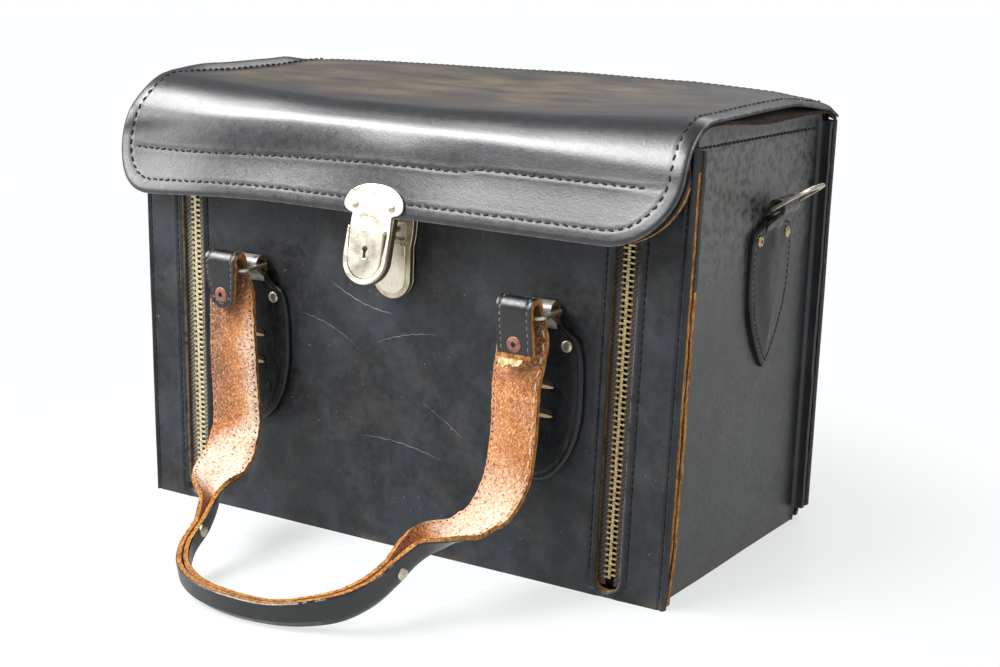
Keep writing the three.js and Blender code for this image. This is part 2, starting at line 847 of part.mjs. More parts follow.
function haspOutline() {
  const neck = haspNeckWidth / 2;
  const half = haspWidth / 2;
  const head = haspHeadRadius;
  const top = haspHeadRise + haspHeadCentre;
  const shape = new THREE.Shape();
  shape.moveTo(-half, haspFoot + half);
  shape.bezierCurveTo(-half, haspNeckPlace, -neck, haspNeckPlace, -neck, 0);
  shape.quadraticCurveTo(-head, haspHeadLow, -head, haspHeadWidest);
  shape.bezierCurveTo(-head, top - haspHeadTurn, -neck, top, 0, top);
  shape.bezierCurveTo(neck, top, head, top - haspHeadTurn, head, haspHeadWidest);
  shape.quadraticCurveTo(head, haspHeadLow, neck, 0);
  shape.bezierCurveTo(neck, haspNeckPlace, half, haspNeckPlace, half, haspFoot + half);
  shape.absarc(0, haspFoot + half, half, 0, -Math.PI, true);
  return shape;
}

// A flat-topped plate with a half round foot
function haspInset(half, top, foot) {
  const shape = new THREE.Shape();
  shape.moveTo(half, foot + half);
  shape.lineTo(half, top);
  shape.lineTo(-half, top);
  shape.lineTo(-half, foot + half);
  shape.absarc(0, foot + half, half, Math.PI, 2 * Math.PI, false);
  return shape;
}

function haspBody() {
  const back = -seamGap;
  const front = back - haspPlate;
  const caseBack = front + haspDepth;
  const plate = extrudeY(haspOutline(), front, back, 8);
  const shell = extrudeY(haspInset(haspWidth / 2, haspCaseTop, haspFoot), front, caseBack, 8);
  const half = haspWidth / 2 - haspRim;
  const foot = haspFoot + haspRim;
  const pocket = extrudeY(haspInset(half, buttonTop, foot), front - cutOverrun, caseBack - haspPlate, 8);
  const holes = rivetHolesAlongX(0, haspRivetSpacing, haspRivetPlace, front - cutOverrun, cutOverrun);
  return onFlap(cut(join(plate, shell), pocket, ...holes));
}

// Button: a wedge in the hasp's pocket that rocks about its foot, with the keyhole in it
function lockButton() {
  const front = -seamGap - haspPlate;
  const half = haspWidth / 2 - haspRim - buttonClearance;
  const top = buttonTop - buttonClearance;
  const foot = haspFoot + haspRim + buttonClearance;
  const block = extrudeY(haspInset(half, top, foot), front - buttonProud, front + buttonBody, 8);
  const slope = extrudeX(polygon([
    [front - buttonProud, top],
    [front - buttonLip, foot],
    [front - buttonProud - cutOverrun, foot - cutOverrun],
    [front - buttonProud - cutOverrun, top],
  ]), -haspWidth, haspWidth);
  const wayIn = front - buttonProud - cutOverrun;
  const wayOut = front + buttonBody + cutOverrun;
  const key = rodY(keyholeRadius, 0, keyholePlace, wayIn, wayOut, 10);
  const slot = box(
    -keySlotWidth / 2,
    keySlotWidth / 2,
    wayIn,
    wayOut,
    keyholePlace - keySlotLength,
    keyholePlace,
  );
  return onFlap(cut(block, slope, key, slot));
}

function haspRivets() {
  const face = -2 * seamGap - haspPlate;
  const inside = lidThickness + seamGap;
  return onFlap(rivetPairAlongX(0, haspRivetSpacing, haspRivetPlace, face, inside, haspRivetRadius));
}

function lidRivetHoles() {
  return rivetHolesAlongX(0, haspRivetSpacing, haspRivetPlace, -cutOverrun, lidThickness + cutOverrun)
    .map((hole) => onFlap(hole));
}

// Receiver on the front panel: a rounded case with a recess for the hook and a catch stud
function lockReceiver() {
  const back = -seamGap;
  const front = back - receiverDepth;
  const half = receiverWidth / 2;
  const head = receiverHeadWidth / 2;
  const shape = new THREE.Shape();
  shape.moveTo(half, receiverFoot + half);
  shape.lineTo(half, receiverWaist);
  shape.quadraticCurveTo(head, (receiverWaist + receiverTop) / 2, head, receiverTop);
  shape.lineTo(-head, receiverTop);
  shape.quadraticCurveTo(-head, (receiverWaist + receiverTop) / 2, -half, receiverWaist);
  shape.lineTo(-half, receiverFoot + half);
  shape.absarc(0, receiverFoot + half, half, Math.PI, 2 * Math.PI, false);
  const recess = box(
    -recessWidth / 2,
    recessWidth / 2,
    front - cutOverrun,
    front + recessDepth,
    recessFoot,
    recessFoot + recessHeight,
  );
  const hole = rodY(studHole, 0, recessFoot + recessHeight / 2, front, cutOverrun);
  return onFront(cut(extrudeY(shape, front, back, 8), recess, hole), receiverCentre);
}

function catchStud() {
  const back = -seamGap - studProud;
  const floor = -seamGap - receiverDepth + recessDepth;
  const z = recessFoot + recessHeight / 2;
  const shank = rodY(studRadius, 0, z, floor - studProud - studHead / 2, back);
  const head = rodY(studHeadRadius, 0, z, floor - studProud - studHead, floor - studProud);
  return onFront(join(shank, head), receiverCentre);
}

// Strap handle, drawn for the front: its ends fold over the rings' far bars and its middle
// is folded into a grip. Each station has a place, half a width and half a thickness.
function strapStations(barY) {
  const half = frontRingPlace.x;
  const behind = -wrapRadius;
  const tabOut = behind + strapLeather + seamGap;
  const place = (x, out, drop) => new THREE.Vector3(x, barY - out, frontRingHeight - drop);
  const thick = strapLeather / 2;
  const wide = tabWidth / 2;
  const stations = tabShares.map(([drop, share]) => (
    { at: place(half, tabOut, drop * tabLength), wide: wide * share, thick }
  ));
  const shoulder = (tabOut + wrapRadius) / 2;
  stations.push({ at: place(half, shoulder, tabLength * shoulderShare), wide, thick });
  for (let i = 0; i <= wrapSteps; i += 1) {
    const turn = (i / wrapSteps) * Math.PI;
    const at = place(half, wrapRadius * Math.cos(turn), -wrapRadius * Math.sin(turn));
    stations.push({ at, wide, thick });
  }
  const points = [place(half, behind, 0), place(half, behind, tabLength / 2)];
  for (const [across, out, drop] of strapRouteShares) {
    points.push(place(across * half, out * handleReach, drop * handleDrop));
  }
  const route = new THREE.CatmullRomCurve3(points);
  const folds = [0, 0, ...strapRouteShares.map((row) => row[3])];
  for (let i = 1; i <= strapSteps; i += 1) {
    const spot = (i / strapSteps) * (folds.length - 1);
    const low = Math.min(Math.floor(spot), folds.length - 2);
    const fold = THREE.MathUtils.lerp(folds[low], folds[low + 1], spot - low);
    const flat = THREE.MathUtils.lerp(tabWidth, strapWidth, THREE.MathUtils.smoothstep(spot, 0, 2));
    stations.push({
      at: route.getPoint(i / strapSteps),
      wide: THREE.MathUtils.lerp(flat, gripWidth, fold) / 2,
      thick: THREE.MathUtils.lerp(strapLeather, gripHeight, fold) / 2,
    });
  }
  return stations;
}

// The four corners of the strap at a station, from its direction there
function strapFrame(stations, i, side) {
  const before = stations[Math.max(i - 1, 0)].at;
  const after = stations[Math.min(i + 1, stations.length - 1)].at;
  const along = after.clone().sub(before).normalize();
  const hint = new THREE.Vector3(0, side * along.z, -side * along.y + Math.abs(along.x));
  const normal = hint.addScaledVector(along, -hint.dot(along)).normalize();
  return { along, normal, across: along.clone().cross(normal) };
}

function strapSheet(stations, middle) {
  const place = [];
  stations.forEach(({ at, wide, thick }, i) => {
    const { normal, across } = strapFrame(stations, i, i <= middle ? 1 : -1);
    for (const [a, b] of [[1, 1], [1, -1], [-1, -1], [-1, 1]]) {
      const corner = at.clone().addScaledVector(across, a * wide).addScaledVector(normal, b * thick);
      place.push(corner.x, corner.y, corner.z);
    }
  });
  const faces = [0, 2, 1, 0, 3, 2];
  for (let k = 0; k < stations.length - 1; k += 1) {
    for (let i = 0; i < 4; i += 1) {
      const a = 4 * k + i;
      const b = 4 * k + ((i + 1) % 4);
      faces.push(a, b, b + 4, a, b + 4, a + 4);
    }
  }
  const end = 4 * (stations.length - 1);
  faces.push(end, end + 1, end + 2, end, end + 2, end + 3);
  const geometry = new THREE.BufferGeometry();
  geometry.setAttribute('position', new THREE.BufferAttribute(new Float32Array(place), 3));
  geometry.setIndex(faces);
  return geometry;
}

// Lays something drawn along Y through a point in a direction
function aimed(geometry, at, direction) {
  const turn = new THREE.Quaternion().setFromUnitVectors(new THREE.Vector3(0, 1, 0), direction);
  return geometry.applyQuaternion(turn).translate(at.x, at.y, at.z);
}

// Where a handle's rivets go, on the right side: the tab's and the grip's
function handleRivetPlaces(barY) {
  const behind = barY + wrapRadius;
  const tabFront = behind - strapLeather / 2 - seamGap - strapLeather;
  const z = frontRingHeight - tabRivetPlace;
  const [across, out, drop] = strapRouteShares[gripRivetRow];
  const [nextAcross, nextOut, nextDrop] = strapRouteShares[gripRivetRow + 1];
  const point = (a, b, c) => (
    new THREE.Vector3(a * frontRingPlace.x, barY - b * handleReach, frontRingHeight - c * handleDrop)
  );
  const at = point(across, out, drop);
  const next = point(nextAcross, nextOut, nextDrop);
  const along = next.sub(at).normalize();
  const level = new THREE.Vector3(along.y, -along.x, 0).normalize();
  return {
    tab: {
      at: new THREE.Vector3(frontRingPlace.x, (tabFront + behind + strapLeather / 2) / 2, z),
      direction: new THREE.Vector3(0, 1, 0),
      length: behind + strapLeather / 2 - tabFront,
      radius: tabRivetRadius,
      seat: tabRivetSeat,
    },
    grip: {
      at,
      direction: level,
      length: gripWidth,
      radius: gripRivetRadius,
      seat: gripRivetSeat,
    },
  };
}

function handleRivet({ at, direction, length, radius, seat }) {
  const reach = length / 2 + seat;
  const parts = [rodY(rivetShank, 0, 0, -reach - shankPastHead, reach + shankPastHead)];
  for (const side of [0, 1]) {
    parts.push(domedHead(radius, rivetHeadHeight).translate(0, reach, 0).rotateX(side * Math.PI));
  }
  return aimed(join(...parts), at, direction);
}

function handleHole({ at, direction, length }) {
  return aimed(rodY(rivetHole, 0, 0, -length, length), at, direction);
}

function strapHandle(barY) {
  const right = strapStations(barY);
  const middle = right.length - 1;
  const left = right.map(({ at, wide, thick }) => (
    { at: new THREE.Vector3(-at.x, at.y, at.z), wide, thick }
  ));
  const stations = [...left.slice(0, middle), ...right.slice().reverse()];
  const places = handleRivetPlaces(barY);
  const holes = [handleHole(places.tab), handleHole(places.grip)];
  return cut(strapSheet(stations, middle), ...holes, ...holes.map((hole) => mirrorX(hole)));
}

function turned(geometry) {
  return geometry.rotateZ(Math.PI);
}

// A handle with its rings, chapes and rivets; the rear one is the front one turned round
function addHandle(group, prefix, place, barY, put) {
  const turn = prefix === 'front' ? 0 : Math.PI;
  const aim = (geometry) => (turn === 0 ? geometry : turned(geometry));
  const reachY = turn === 0 ? barY : -barY;
  const places = handleRivetPlaces(reachY);
  const x = ringSpacing / 2;
  pair(group, (side) => `${prefix}_chape_${side}`, put(chape(handleChape), x), finishes.blackLeather);
  pair(
    group,
    (side) => `${prefix}_chape_rivets_${side}`,
    put(chapeRivets(handleChape), x),
    finishes.steel,
  );
  pair(group, (side) => `${prefix}_ring_${side}`, handleRing(place, turn), finishes.steel);
  group.add(piece(`${prefix}_handle_strap`, aim(strapHandle(reachY)), finishes.suede));
  pair(
    group,
    (side) => `${prefix}_tab_rivet_${side}`,
    aim(handleRivet(places.tab)),
    finishes.copper,
  );
  pair(
    group,
    (side) => `${prefix}_grip_rivet_${side}`,
    aim(handleRivet(places.grip)),
    finishes.brass,
  );
}

function addCase(group) {
  group.add(piece('base_panel', basePanel(), finishes.blackLeather));
  group.add(piece('base_board', baseBoard(), finishes.board));
  group.add(piece('back_panel', backPanel(), finishes.blackLeather));
  pair(group, (side) => `side_panel_${side}`, sidePanel(), finishes.blackLeather);
  pair(group, (side) => `front_strip_${side}`, frontStrip(), finishes.blackLeather);
  pair(
    group,
    (side) => `corner_welt_front_${side}`,
    cornerWelt(true, 0, frontFlangeTop),
    finishes.rawLeather,
  );
  pair(
    group,
    (side) => `corner_welt_back_${side}`,
    cornerWelt(false, backFlangeFoot, backFlangeTop),
    finishes.rawLeather,
  );
}

function addZips(group) {
  pair(group, (side) => `zip_tape_outer_${side}`, zipTape(1, outerChainTop), finishes.tape);
  pair(group, (side) => `zip_teeth_outer_${side}`, zipTeeth(1, outerChainTop), finishes.brass);
  pair(group, (side) => `zip_tape_inner_${side}`, zipTape(-1, innerChainTop), finishes.tape);
  pair(group, (side) => `zip_teeth_inner_${side}`, zipTeeth(-1, innerChainTop), finishes.brass);
  pair(group, (side) => `zip_slider_${side}`, zipSlider(), finishes.brass);
  pair(group, (side) => `zip_pull_${side}`, zipPull(), finishes.brass);
}

function addLid(group) {
  const liningFace = lidOuterLeather + seamGap;
  const holes = lidRivetHoles();
  group.add(piece('lid_panel', cut(lidSheet(0, lidOuterLeather, 0), ...holes), finishes.lidLeather));
  group.add(piece(
    'lid_lining',
    cut(lidSheet(liningFace, lidThickness, liningInset), ...holes),
    finishes.blackLeather,
  ));
  group.add(piece('hasp_body', haspBody(), finishes.nickel));
  group.add(piece('hasp_rivets', haspRivets(), finishes.nickel));
  group.add(piece('lock_button', lockButton(), finishes.nickel));
}

function addSideRings(group) {
  pair(group, (side) => `side_chape_${side}`, onRightSide(chape(sideChape)), finishes.blackLeather);
  pair(
    group,
    (side) => `side_chape_rivets_${side}`,
    onRightSide(chapeRivets(sideChape)),
    finishes.brass,
  );
  pair(group, (side) => `side_ring_${side}`, sideRing(), finishes.steel);
}

function build() {
  const root = new THREE.Group();
  addCase(root);
  addZips(root);
  root.add(piece('front_panel', frontPanel(), finishes.blackLeather));
  root.add(piece('lock_receiver', lockReceiver(), finishes.nickel));
  root.add(piece('catch_stud', catchStud(), finishes.nickel));
  addHandle(root, 'front', frontRingPlace, frontBarY, onFront);
  addHandle(root, 'rear', rearRingPlace, rearBarY, onBack);
  addSideRings(root);
  addLid(root);
  return root;
}

export default build();
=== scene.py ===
"""Looks of a drop-front leather camera case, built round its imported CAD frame."""

import json
import logging
import math
from collections.abc import Callable, Sequence
from dataclasses import dataclass, field
from enum import Enum
from typing import Any

import bmesh
import bpy
import numpy as np
from mathutils import Matrix, Vector, noise


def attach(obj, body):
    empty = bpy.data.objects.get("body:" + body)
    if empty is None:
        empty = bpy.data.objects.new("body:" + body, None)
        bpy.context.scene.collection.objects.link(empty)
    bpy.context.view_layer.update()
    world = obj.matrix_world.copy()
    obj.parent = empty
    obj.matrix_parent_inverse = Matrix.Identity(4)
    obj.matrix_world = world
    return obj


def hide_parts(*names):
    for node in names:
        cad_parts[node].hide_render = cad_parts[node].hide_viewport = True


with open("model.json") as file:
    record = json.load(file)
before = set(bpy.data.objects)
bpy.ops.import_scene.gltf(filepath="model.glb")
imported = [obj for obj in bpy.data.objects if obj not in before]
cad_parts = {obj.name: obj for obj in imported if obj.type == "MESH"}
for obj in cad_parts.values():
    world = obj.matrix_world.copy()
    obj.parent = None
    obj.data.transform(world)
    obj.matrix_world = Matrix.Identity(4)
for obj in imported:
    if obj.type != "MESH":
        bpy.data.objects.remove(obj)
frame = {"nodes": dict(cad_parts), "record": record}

LOG = logging.getLogger("camera_case")
MM = 0.001
FULL_TURN = 2 * math.pi
Grid = np.ndarray
Points = np.ndarray
Placer = Callable[[Points], Points]
Socket = bpy.types.NodeSocket
Triple = tuple[float, float, float]


class Side(Enum):
    """The two sides of the case, as seen from the front."""

    LEFT = "left"
    RIGHT = "right"

    @property
    def sign(self) -> int:
        """Direction of this side along X."""
        return 1 if self is Side.RIGHT else -1

    @property
    def other(self) -> "Side":
        """The opposite side."""
        return Side.LEFT if self is Side.RIGHT else Side.RIGHT


class Face(Enum):
    """Which wall of the box a piece sits on."""

    FRONT = "front"
    REAR = "rear"
    ASIDE = "side"


def linear(hex_colour: str) -> tuple[float, float, float, float]:
    """Turns an sRGB hex colour into linear RGBA.

    Args:
        hex_colour: A colour such as "#b5662f".

    Returns:
        Linear red, green, blue and an alpha of 1.
    """
    channels = [int(hex_colour[i : i + 2], 16) / 255 for i in (1, 3, 5)]
    red, green, blue = (
        c / 12.92 if c <= 0.04045 else ((c + 0.055) / 1.055) ** 2.4 for c in channels
    )
    return red, green, blue, 1.0


def cells_per_metre(size_mm: float) -> float:
    """Returns the texture scale at which one feature is size_mm wide."""
    return 1.0 / (size_mm * MM)


@dataclass(frozen=True)
class Wiring:
    """A node tree, its Principled shader and coordinates, and the nodes that finishes use."""

    tree: bpy.types.NodeTree
    shader: bpy.types.Node | None = None
    place: Socket | None = None

    def node(self, kind: str, inputs: dict[Any, Any] | None = None, **settings: Any) -> bpy.types.Node:
        """Adds a node, sets its properties and fills or links its inputs.

        Args:
            kind: The node's type name without the ShaderNode prefix.
            inputs: Socket name or index to a value or to another node's output.
            **settings: Properties of the node itself.

        Returns:
            The new node.
        """
        node = self.tree.nodes.new(f"ShaderNode{kind}")
        for key, value in settings.items():
            setattr(node, key, value)
        self.fill(node, inputs or {})
        return node

    def fill(self, node: bpy.types.Node, inputs: dict[Any, Any]) -> None:
        """Sets or links inputs of a node.

        Args:
            node: The node.
            inputs: Socket name or index to a value or to another node's output.
        """
        for key, value in inputs.items():
            if isinstance(value, Socket):
                self.tree.links.new(value, node.inputs[key])
            else:
                node.inputs[key].default_value = value

    def paint(self, inputs: dict[str, Any]) -> None:
        """Sets or links inputs of the Principled shader."""
        self.fill(self.shader, inputs)

    def ramp(self, source: Socket, stops: Sequence[tuple[float, str]]) -> Socket:
        """Colours a grey value by a ramp of hex colours.

        Args:
            source: The grey output to colour.
            stops: Pairs of position and hex colour.

        Returns:
            The ramp's colour output.
        """
        node = self.node("ValToRGB", {"Fac": source})
        elements = node.color_ramp.elements
        while len(elements) < len(stops):
            elements.new(0.5)
        for element, (place, colour) in zip(elements, stops):
            element.position = place
            element.color = linear(colour)
        return node.outputs["Color"]

    def noise(
        self, size_mm: float, detail: float = 3.0, warp: float = 0.0, at: Socket | None = None
    ) -> Socket:
        """Noise whose blotches are about size_mm wide.

        Args:
            size_mm: Width of one blotch.
            detail: Octaves of finer noise on top.
            warp: Distortion of the pattern.
            at: The coordinates to read, or None for the object's own.

        Returns:
            The grey output.
        """
        inputs = {
            "Vector": self.place if at is None else at,
            "Scale": cells_per_metre(size_mm),
            "Detail": detail,
            "Distortion": warp,
        }
        return self.node("TexNoise", inputs).outputs["Fac"]

    def spread(
        self, value: Socket, low: float, high: float, to_low: float = 0.0, to_high: float = 1.0
    ) -> Socket:
        """Maps a grey value from one range onto another, clamped.

        Args:
            value: The grey output.
            low: Value that becomes to_low.
            high: Value that becomes to_high.
            to_low: First result.
            to_high: Second result.

        Returns:
            The mapped output.
        """
        ends = {"From Min": low, "From Max": high, "To Min": to_low, "To Max": to_high}
        return self.node("MapRange", {"Value": value, **ends}, clamp=True).outputs["Result"]

    def blend(self, share: Any, first: Any, second: Any) -> Socket:
        """Mixes two colours, given as sockets or hex words.

        Args:
            share: How much of the second colour, as a number or a socket.
            first: The first colour.
            second: The second colour.

        Returns:
            The mixed colour.
        """
        low, high = (linear(c) if isinstance(c, str) else c for c in (first, second))
        return self.node("Mix", {0: share, 6: low, 7: high}, data_type="RGBA").outputs[2]

    def maths(self, operation: str, first: Any, second: Any) -> Socket:
        """Returns two grey values joined by a math operation."""
        return self.node("Math", {0: first, 1: second}, operation=operation).outputs[0]

    def product(self, first: Any, second: Any) -> Socket:
        """Returns one grey value times another."""
        return self.maths("MULTIPLY", first, second)

    def mixed(self, first: Socket, share: float, second: Socket, other: float) -> Socket:
        """Returns the sum of two grey values, each times its share."""
        return self.maths("ADD", self.product(first, share), self.product(second, other))

    def wear(self) -> Socket:
        """Returns the wear painted on the vertices: over 0 is dirty, under 0 is rubbed; in places over 0 also
        carries painted shade and under 0 painted sheen.
        """
        return self.node("Attribute", attribute_name="wear").outputs["Fac"]

    def bump(self, layers: Sequence[tuple[Socket, float]]) -> None:
        """Bumps the shader's surface by several height maps.

        Args:
            layers: Pairs of grey height and its depth in millimetres.
        """
        normal = {}
        for height, depth in layers:
            inputs = {"Height": height, "Distance": depth * MM, "Strength": 1.0, **normal}
            normal = {"Normal": self.node("Bump", inputs).outputs["Normal"]}
        self.paint(normal)

    def stretched(self, scale: Triple, turn: Triple = (0.0, 0.0, 0.0)) -> Socket:
        """Object coordinates stretched and turned, for streaks and threads.

        Args:
            scale: Factor along each axis.
            turn: Rotation in degrees.

        Returns:
            The changed coordinates.
        """
        angles = tuple(math.radians(a) for a in turn)
        inputs = {"Vector": self.place, "Scale": scale, "Rotation": angles}
        return self.node("Mapping", inputs).outputs["Vector"]

    def streaks(self, length_mm: float, width_mm: float, turn: Triple, rare: float) -> Socket:
        """Straight scratches: noise stretched along one way, of which only the peaks stay.

        Args:
            length_mm: Length of a scratch.
            width_mm: Width of a scratch.
            turn: Direction of the scratches, as a rotation in degrees.
            rare: Noise value over which a scratch shows, so higher means fewer.

        Returns:
            One on a scratch and zero elsewhere.
        """
        long = self.stretched((1.0, 1.0, width_mm / length_mm), turn)
        return self.spread(self.noise(width_mm, 0.0, at=long), rare, rare + 0.03)


@dataclass(frozen=True)
class Finish:
    """A material recipe; each kind of surface is a subclass that fills its own nodes."""

    name: str
    slot: str

    def wire(self, w: Wiring) -> None:
        """Adds this finish's nodes round the wiring's Principled shader."""
        raise NotImplementedError

    def material(self) -> bpy.types.Material:
        """Makes this finish's material, once.

        Returns:
            The material.
        """
        known = bpy.data.materials.get(self.name)
        if known is not None:
            return known
        made = bpy.data.materials.new(self.name)
        made.use_nodes = True
        made.node_tree.nodes.clear()
        bare = Wiring(made.node_tree)
        shader = bare.node("BsdfPrincipled")
        bare.node("OutputMaterial", {"Surface": shader.outputs["BSDF"]})
        self.wire(Wiring(bare.tree, shader, bare.node("TexCoord").outputs["Object"]))
        return made


@dataclass(frozen=True)
class BridleLeather(Finish):
    """Thick vegetable-tanned cowhide, dyed black and waxed: glossy, fine-grained, scuffed."""

    deep: str = "#0c0d0f"
    plain: str = "#20252c"
    dust: str = "#6b5a44"
    # Pale colour where wear is under 0: real rubs, and painted sheen on the lid's edge, the upper side leather and
    # the ring loops
    rub_and_sheen: str = "#97938d"
    mark: str = "#8d8a84"
    gloss: float = 0.34
    shine: float = 0.45
    scuffs: float = 0.5
    ripple: float = 0.22
    tooth: float = 1.0
    uneven: float = 0.36

    def wire(self, w: Wiring) -> None:
        """Adds dye, dust where wear is over 0, pale rubs and painted sheen where it is under 0, and grain."""
        cloudy, fine, grain = w.noise(34.0, 4.0, 0.6), w.noise(4.0, 6.0), w.noise(1.3, 2.0)
        dye = w.ramp(w.mixed(cloudy, 0.6, fine, 0.4), [(0.40, self.deep), (0.60, self.plain)])
        wear = w.wear()
        blotch = w.spread(w.noise(16.0, 9.0, 0.3, w.stretched((0.4, 1.0, 1.0))), 0.22, 0.72)
        worn = w.product(w.spread(wear, 0.0, 1.0), w.product(blotch, w.spread(grain, 0.3, 0.6, 0.55, 1.0)))
        dusty = w.blend(worn, dye, self.dust)
        # Where wear is under 0 the leather turns pale: real rubs, and painted sheen where the wear paints a
        # highlight
        rubbed = w.product(w.spread(wear, -1.0, 0.0, 1.0, 0.0), w.spread(fine, 0.36, 0.56))
        pale = w.blend(rubbed, dusty, self.rub_and_sheen)
        mist = w.spread(w.noise(22.0, 7.0, 0.3), 0.48, 0.85, 0.0, 0.22)
        motes = w.spread(w.noise(1.6, 0.0), 0.83, 0.86, 0.0, 0.6)
        marks = w.product(w.maths("MAXIMUM", mist, motes), self.scuffs)
        w.paint({"Base Color": w.blend(marks, pale, self.mark)})
        patchy = w.maths("ADD", w.mixed(fine, 0.5, grain, 0.5), w.product(worn, 0.6))
        rough = w.spread(patchy, 0.30, 1.0, self.gloss, self.gloss + self.uneven)
        w.paint({"Roughness": rough, "Specular IOR Level": self.shine})
        # Grain of waxed cowhide is 0.3 mm; drawn at 0.9 and 1.3 mm so that it shows
        cells = {"Vector": w.place, "Scale": cells_per_metre(0.9)}
        pores = w.node("TexVoronoi", cells, feature="SMOOTH_F1").outputs["Distance"]
        tooth = [(pores, 0.05), (grain, 0.09), (fine, 0.08)]
        swell = (w.noise(12.0, 3.0), self.ripple)
        w.bump([swell, *((height, depth * self.tooth) for height, depth in tooth)])


@dataclass(frozen=True)
class FleshSideLeather(Finish):
    """The unfinished flesh side of the strap: napped fibres, darkened by hands, with painted shade where the tab
    hangs over it.
    """

    dark: str = "#70391a"
    middle: str = "#b26a30"
    pale: str = "#e0a96c"
    # Dark colour where wear is over 0: grease from hands, and painted shade under the tab
    grease_and_shade: str = "#4c2c22"
    bleach: str = "#f3e0cb"
    speck: str = "#fbe6c4"
    pit: str = "#4a2713"

    def wire(self, w: Wiring) -> None:
        """Adds mottled nap; wear over 0 is dark with grease and painted shade, under 0 bleached and pale."""
        blotch, nap, fibre = w.noise(14.0, 5.0, 0.4), w.noise(1.5, 3.0, 0.8), w.noise(0.8, 2.0)
        stops = [(0.30, self.dark), (0.50, self.middle), (0.70, self.pale)]
        colour = w.ramp(w.mixed(blotch, 0.30, nap, 0.70), stops)
        wear = w.wear()
        bleached = w.product(w.spread(wear, -1.0, 0.0, 1.0, 0.0), w.spread(nap, 0.28, 0.54))
        colour = w.blend(w.product(bleached, 0.85), colour, self.bleach)
        grease_and_shade_share = w.product(w.spread(wear, 0.0, 1.0), w.spread(nap, 0.36, 0.64, 1.0, 0.45))
        colour = w.blend(grease_and_shade_share, colour, self.grease_and_shade)
        colour = w.blend(w.product(w.spread(fibre, 0.60, 0.68), 0.35), colour, self.speck)
        colour = w.blend(w.product(w.spread(fibre, 0.34, 0.42, 1.0, 0.0), 0.55), colour, self.pit)
        w.paint({"Base Color": colour, "Roughness": 0.9, "Specular IOR Level": 0.25})
        w.paint({"Sheen Weight": 0.3, "Sheen Roughness": 0.5})
        # Nap fibres are 0.1 mm thick; drawn in tufts of 0.8 and 1.5 mm so that they show
        w.bump([(blotch, 0.4), (nap, 0.8), (fibre, 0.4)])


@dataclass(frozen=True)
class CutEdge(Finish):
    """Raw cut edge of undyed cowhide in layers: fibrous, tan, with dark glue lines."""

    dark: str = "#4c2c12"
    middle: str = "#925b28"
    pale: str = "#c08c4c"

    def wire(self, w: Wiring) -> None:
        """Adds fibres that run along the edge and darker seams between the layers."""
        streak = w.noise(1.1, 6.0, 0.5, w.stretched((1.0, 1.0, 0.16)))
        lump = w.noise(3.0, 5.0, 0.6)
        stops = [(0.34, self.dark), (0.47, self.middle), (0.62, self.pale)]
        colour = w.ramp(w.mixed(streak, 0.6, lump, 0.4), stops)
        w.paint({"Base Color": colour, "Roughness": 0.88, "Specular IOR Level": 0.25})
        w.bump([(lump, 0.6), (streak, 0.5)])


@dataclass(frozen=True)
class WaxedThread(Finish):
    """Waxed linen thread, twisted from plies."""

    colour: str = "#060607"
    glint: str = "#151413"

    def wire(self, w: Wiring) -> None:
        """Adds the thread's uneven dye towards its glint colour, which on the tab thread is a pale painted
        highlight, and its ply ridges.
        """
        tone = w.noise(1.5, 3.0)
        w.paint({"Base Color": w.blend(tone, self.colour, self.glint), "Roughness": 0.7})
        # Plies are 0.3 mm apart; drawn at 0.5 mm so that they show
        plies = w.noise(0.5, 1.0, at=w.stretched((1, 1, 1), (35, 35, 0)))
        w.bump([(plies, 0.12)])


@dataclass(frozen=True)
class CottonTwill(Finish):
    """Woven cotton zip tape with a diagonal rib."""

    colour: str = "#2b211e"
    thread: str = "#4a3e39"
    dirt: str = "#16110f"

    def wire(self, w: Wiring) -> None:
        """Adds twill ribs; real ribs are 0.5 mm apart and are drawn at 1 mm so that they show."""
        inputs = {
            "Vector": w.stretched((1, 1, 1), (0, 38, 0)),
            "Scale": cells_per_metre(1.0) / 6.283,
            "Distortion": 1.2,
            "Detail": 1.0,
            "Detail Scale": 2.0,
        }
        ribs = w.node("TexWave", inputs, bands_direction="Z").outputs["Fac"]
        dirt = w.noise(12.0, 4.0)
        colour = w.blend(ribs, self.colour, self.thread)
        colour = w.blend(w.spread(dirt, 0.45, 0.75, 0.0, 0.4), colour, self.dirt)
        w.paint({"Base Color": colour, "Roughness": 0.9, "Sheen Weight": 0.15})
        w.bump([(ribs, 0.18)])


@dataclass(frozen=True)
class Metal(Finish):
    """A worn metal: its bright colour, the tarnish in its hollows and its polish."""

    bright: str = "#d8d0bb"
    tarnish: str = "#7f735a"
    polish: float = 0.2
    patina: float = 0.5
    blotch_mm: float = 4.0

    def wire(self, w: Wiring) -> None:
        """Adds tarnish blotches, fine scratches and small dents."""
        blotch = w.noise(self.blotch_mm, 6.0, 0.4)
        share = w.spread(blotch, 0.42, 0.70, 0.0, self.patina)
        scratch = w.streaks(7.0, 0.3, (0.0, 25.0, 40.0), 0.66)
        colour = w.blend(share, self.bright, self.tarnish)
        colour = w.blend(w.product(scratch, 0.35), colour, self.tarnish)
        rough = w.spread(blotch, 0.3, 0.75, self.polish, self.polish + 0.25)
        w.paint({"Base Color": colour, "Roughness": rough, "Metallic": 1.0})
        w.bump([(w.noise(7.0, 2.0), 0.12), (scratch, -0.02)])


@dataclass(frozen=True)
class PressedBoard(Finish):
    """Leather board pressed from fibre, lining the base."""

    dark: str = "#4a3622"
    colour: str = "#6b5134"

    def wire(self, w: Wiring) -> None:
        """Adds fibre flecks."""
        fleck = w.noise(2.5, 6.0, 0.5)
        colour = w.ramp(fleck, [(0.35, self.dark), (0.65, self.colour)])
        w.paint({"Base Color": colour, "Roughness": 0.85})
        w.bump([(fleck, 0.12)])


